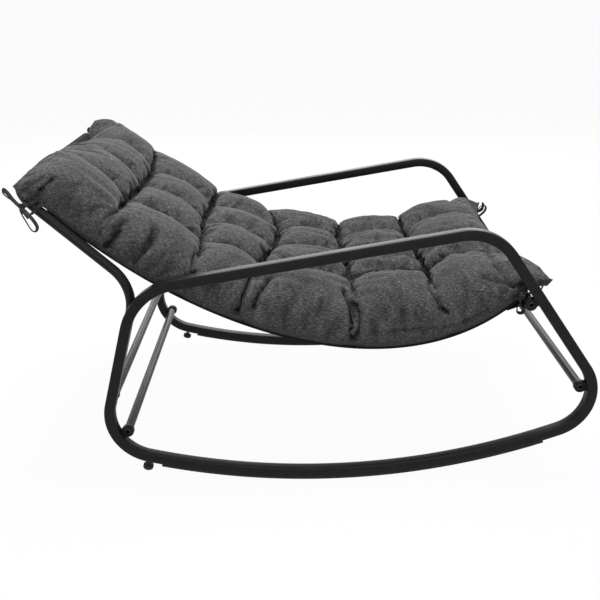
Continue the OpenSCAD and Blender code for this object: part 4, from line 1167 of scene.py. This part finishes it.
back_up, front_up = Vector((0.6, 0.2, 0.7)), Vector((0.7, 0.3, 0.6))
back_knot, back_lie = (-0.5615, 0.336, 0.6205), Vector((0.55, 0, -0.83))
for end, word, sign, route, tie_up, knot_at, knot_axis in (
        ("back", "right", -1, back_route, back_up, back_knot, back_lie),
        ("back", "left", 1, back_route, back_up, back_knot, back_lie),
        ("front", "right", -1, front_right_route, front_up, (0.4345, 0.3125, 0.4165), Vector((0.4, 0.1, 0.9))),
        ("front", "left", 1, front_left_route, front_up, (0.4760, 0.3065, 0.4090), Vector((0.5, 0.2, 0.84)))):
    line = smooth_route([(x, sign * y, z) for x, y, z in route])
    bm = bmesh.new()
    long = add_tape(bm, line, Vector((tie_up.x, sign * tie_up.y, tie_up.z)))
    tie = piece("bow_%s_%s" % (end, word), bm, tie_tape, ["tie_%s_%s" % (end, word)], smooth=50)
    lump = knot("knot_%s_%s" % (end, word), Vector((knot_at[0], sign * knot_at[1], knot_at[2])),
                Vector((knot_axis.x, sign * knot_axis.y, knot_axis.z)).normalized())
    print("tie", end, word, round(long, 3), "m")

# %% [markdown]
# ## Solids that stay
# Small fittings that sit inside tubes and lugs keep their solids and get the finishes above.

# %% Finishes of the solids that stay
for node, material in (("bar_inserts", zinc_steel), ("bar_washers", zinc_steel), ("back_rivet_nuts", zinc_steel),
                       ("foot_nuts", zinc_steel), ("back_spacers", black_plastic)):
    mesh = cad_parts[node].data
    mesh.materials.clear()
    mesh.materials.append(material)

# %% [markdown]
# ## Floor and light
# The picture is a studio cut-out: white all round, with soft light from above and behind. The floor is white to
# the camera and still takes a faint shadow. One large lamp hangs overhead, one stands behind, and a weak one
# fills in from the front.

# %% Floor
bm = bmesh.new()
bmesh.ops.create_grid(bm, x_segments=1, y_segments=1, size=60)
mesh = bpy.data.meshes.new("floor")
bm.to_mesh(mesh)
bm.free()
floor = bpy.data.objects.new("floor", mesh)
scene.collection.objects.link(floor)
floor_white, nodes, links, bsdf = new_material("floor_white")
bsdf.inputs["Base Color"].default_value = (0.80, 0.80, 0.80, 1)
bsdf.inputs["Roughness"].default_value = 0.9
bsdf.inputs["Specular IOR Level"].default_value = 0.0
path = nodes.new("ShaderNodeLightPath")
glow = nodes.new("ShaderNodeEmission")
glow.inputs["Color"].default_value = (1, 1, 1, 1)
seen = math_node(floor_white, "MAXIMUM", math_node(floor_white, "MAXIMUM", path.outputs["Is Camera Ray"],
                                                   path.outputs["Is Glossy Ray"]), path.outputs["Is Transmission Ray"])
blend = nodes.new("ShaderNodeMixShader")
links.new(math_node(floor_white, "MULTIPLY", seen, 0.955), blend.inputs["Fac"])
links.new(bsdf.outputs["BSDF"], blend.inputs[1])
links.new(glow.outputs["Emission"], blend.inputs[2])
links.new(blend.outputs["Shader"], nodes["Material Output"].inputs["Surface"])
mesh.materials.append(floor_white)

# %% World and lamps
world = bpy.data.worlds.new("studio")
scene.world = world
world.use_nodes = True
nodes, links = world.node_tree.nodes, world.node_tree.links
back = nodes["Background"]
back.inputs["Color"].default_value = (1.0, 1.0, 1.0, 1)
back.inputs["Strength"].default_value = 0.22
white = nodes.new("ShaderNodeBackground")
white.inputs["Strength"].default_value = 1.0
white.inputs["Color"].default_value = (1, 1, 1, 1)
path = nodes.new("ShaderNodeLightPath")
pick = nodes.new("ShaderNodeMath")
pick.operation = "MAXIMUM"
links.new(path.outputs["Is Camera Ray"], pick.inputs[0])
links.new(path.outputs["Is Transmission Ray"], pick.inputs[1])
pick_too = nodes.new("ShaderNodeMath")
pick_too.operation = "MAXIMUM"
links.new(pick.outputs[0], pick_too.inputs[0])
links.new(path.outputs["Is Glossy Ray"], pick_too.inputs[1])
blend = nodes.new("ShaderNodeMixShader")
links.new(pick_too.outputs[0], blend.inputs["Fac"])
links.new(back.outputs["Background"], blend.inputs[1])
links.new(white.outputs["Background"], blend.inputs[2])
links.new(blend.outputs["Shader"], nodes["World Output"].inputs["Surface"])


def lamp(name, place, target, size, power):
    data = bpy.data.lights.new(name, "AREA")
    data.shape = "RECTANGLE"
    data.size, data.size_y = size
    data.energy = power
    obj = bpy.data.objects.new(name, data)
    scene.collection.objects.link(obj)
    obj.location = place
    obj.rotation_euler = (Vector(target) - Vector(place)).to_track_quat("-Z", "Y").to_euler()
    obj.visible_camera = False
    return obj


lamp("overhead", (-0.1, 0.2, 2.9), (0, 0, 0.3), (1.5, 1.5), 88)
lamp("behind", (0.0, 3.2, 1.9), (0, 0, 0.4), (4.0, 2.2), 95)
lamp("front_fill", (0.4, -3.4, 1.8), (0, 0, 0.3), (2.5, 2.0), 41)
scene.view_settings.view_transform = "Standard"
print("lamps set")
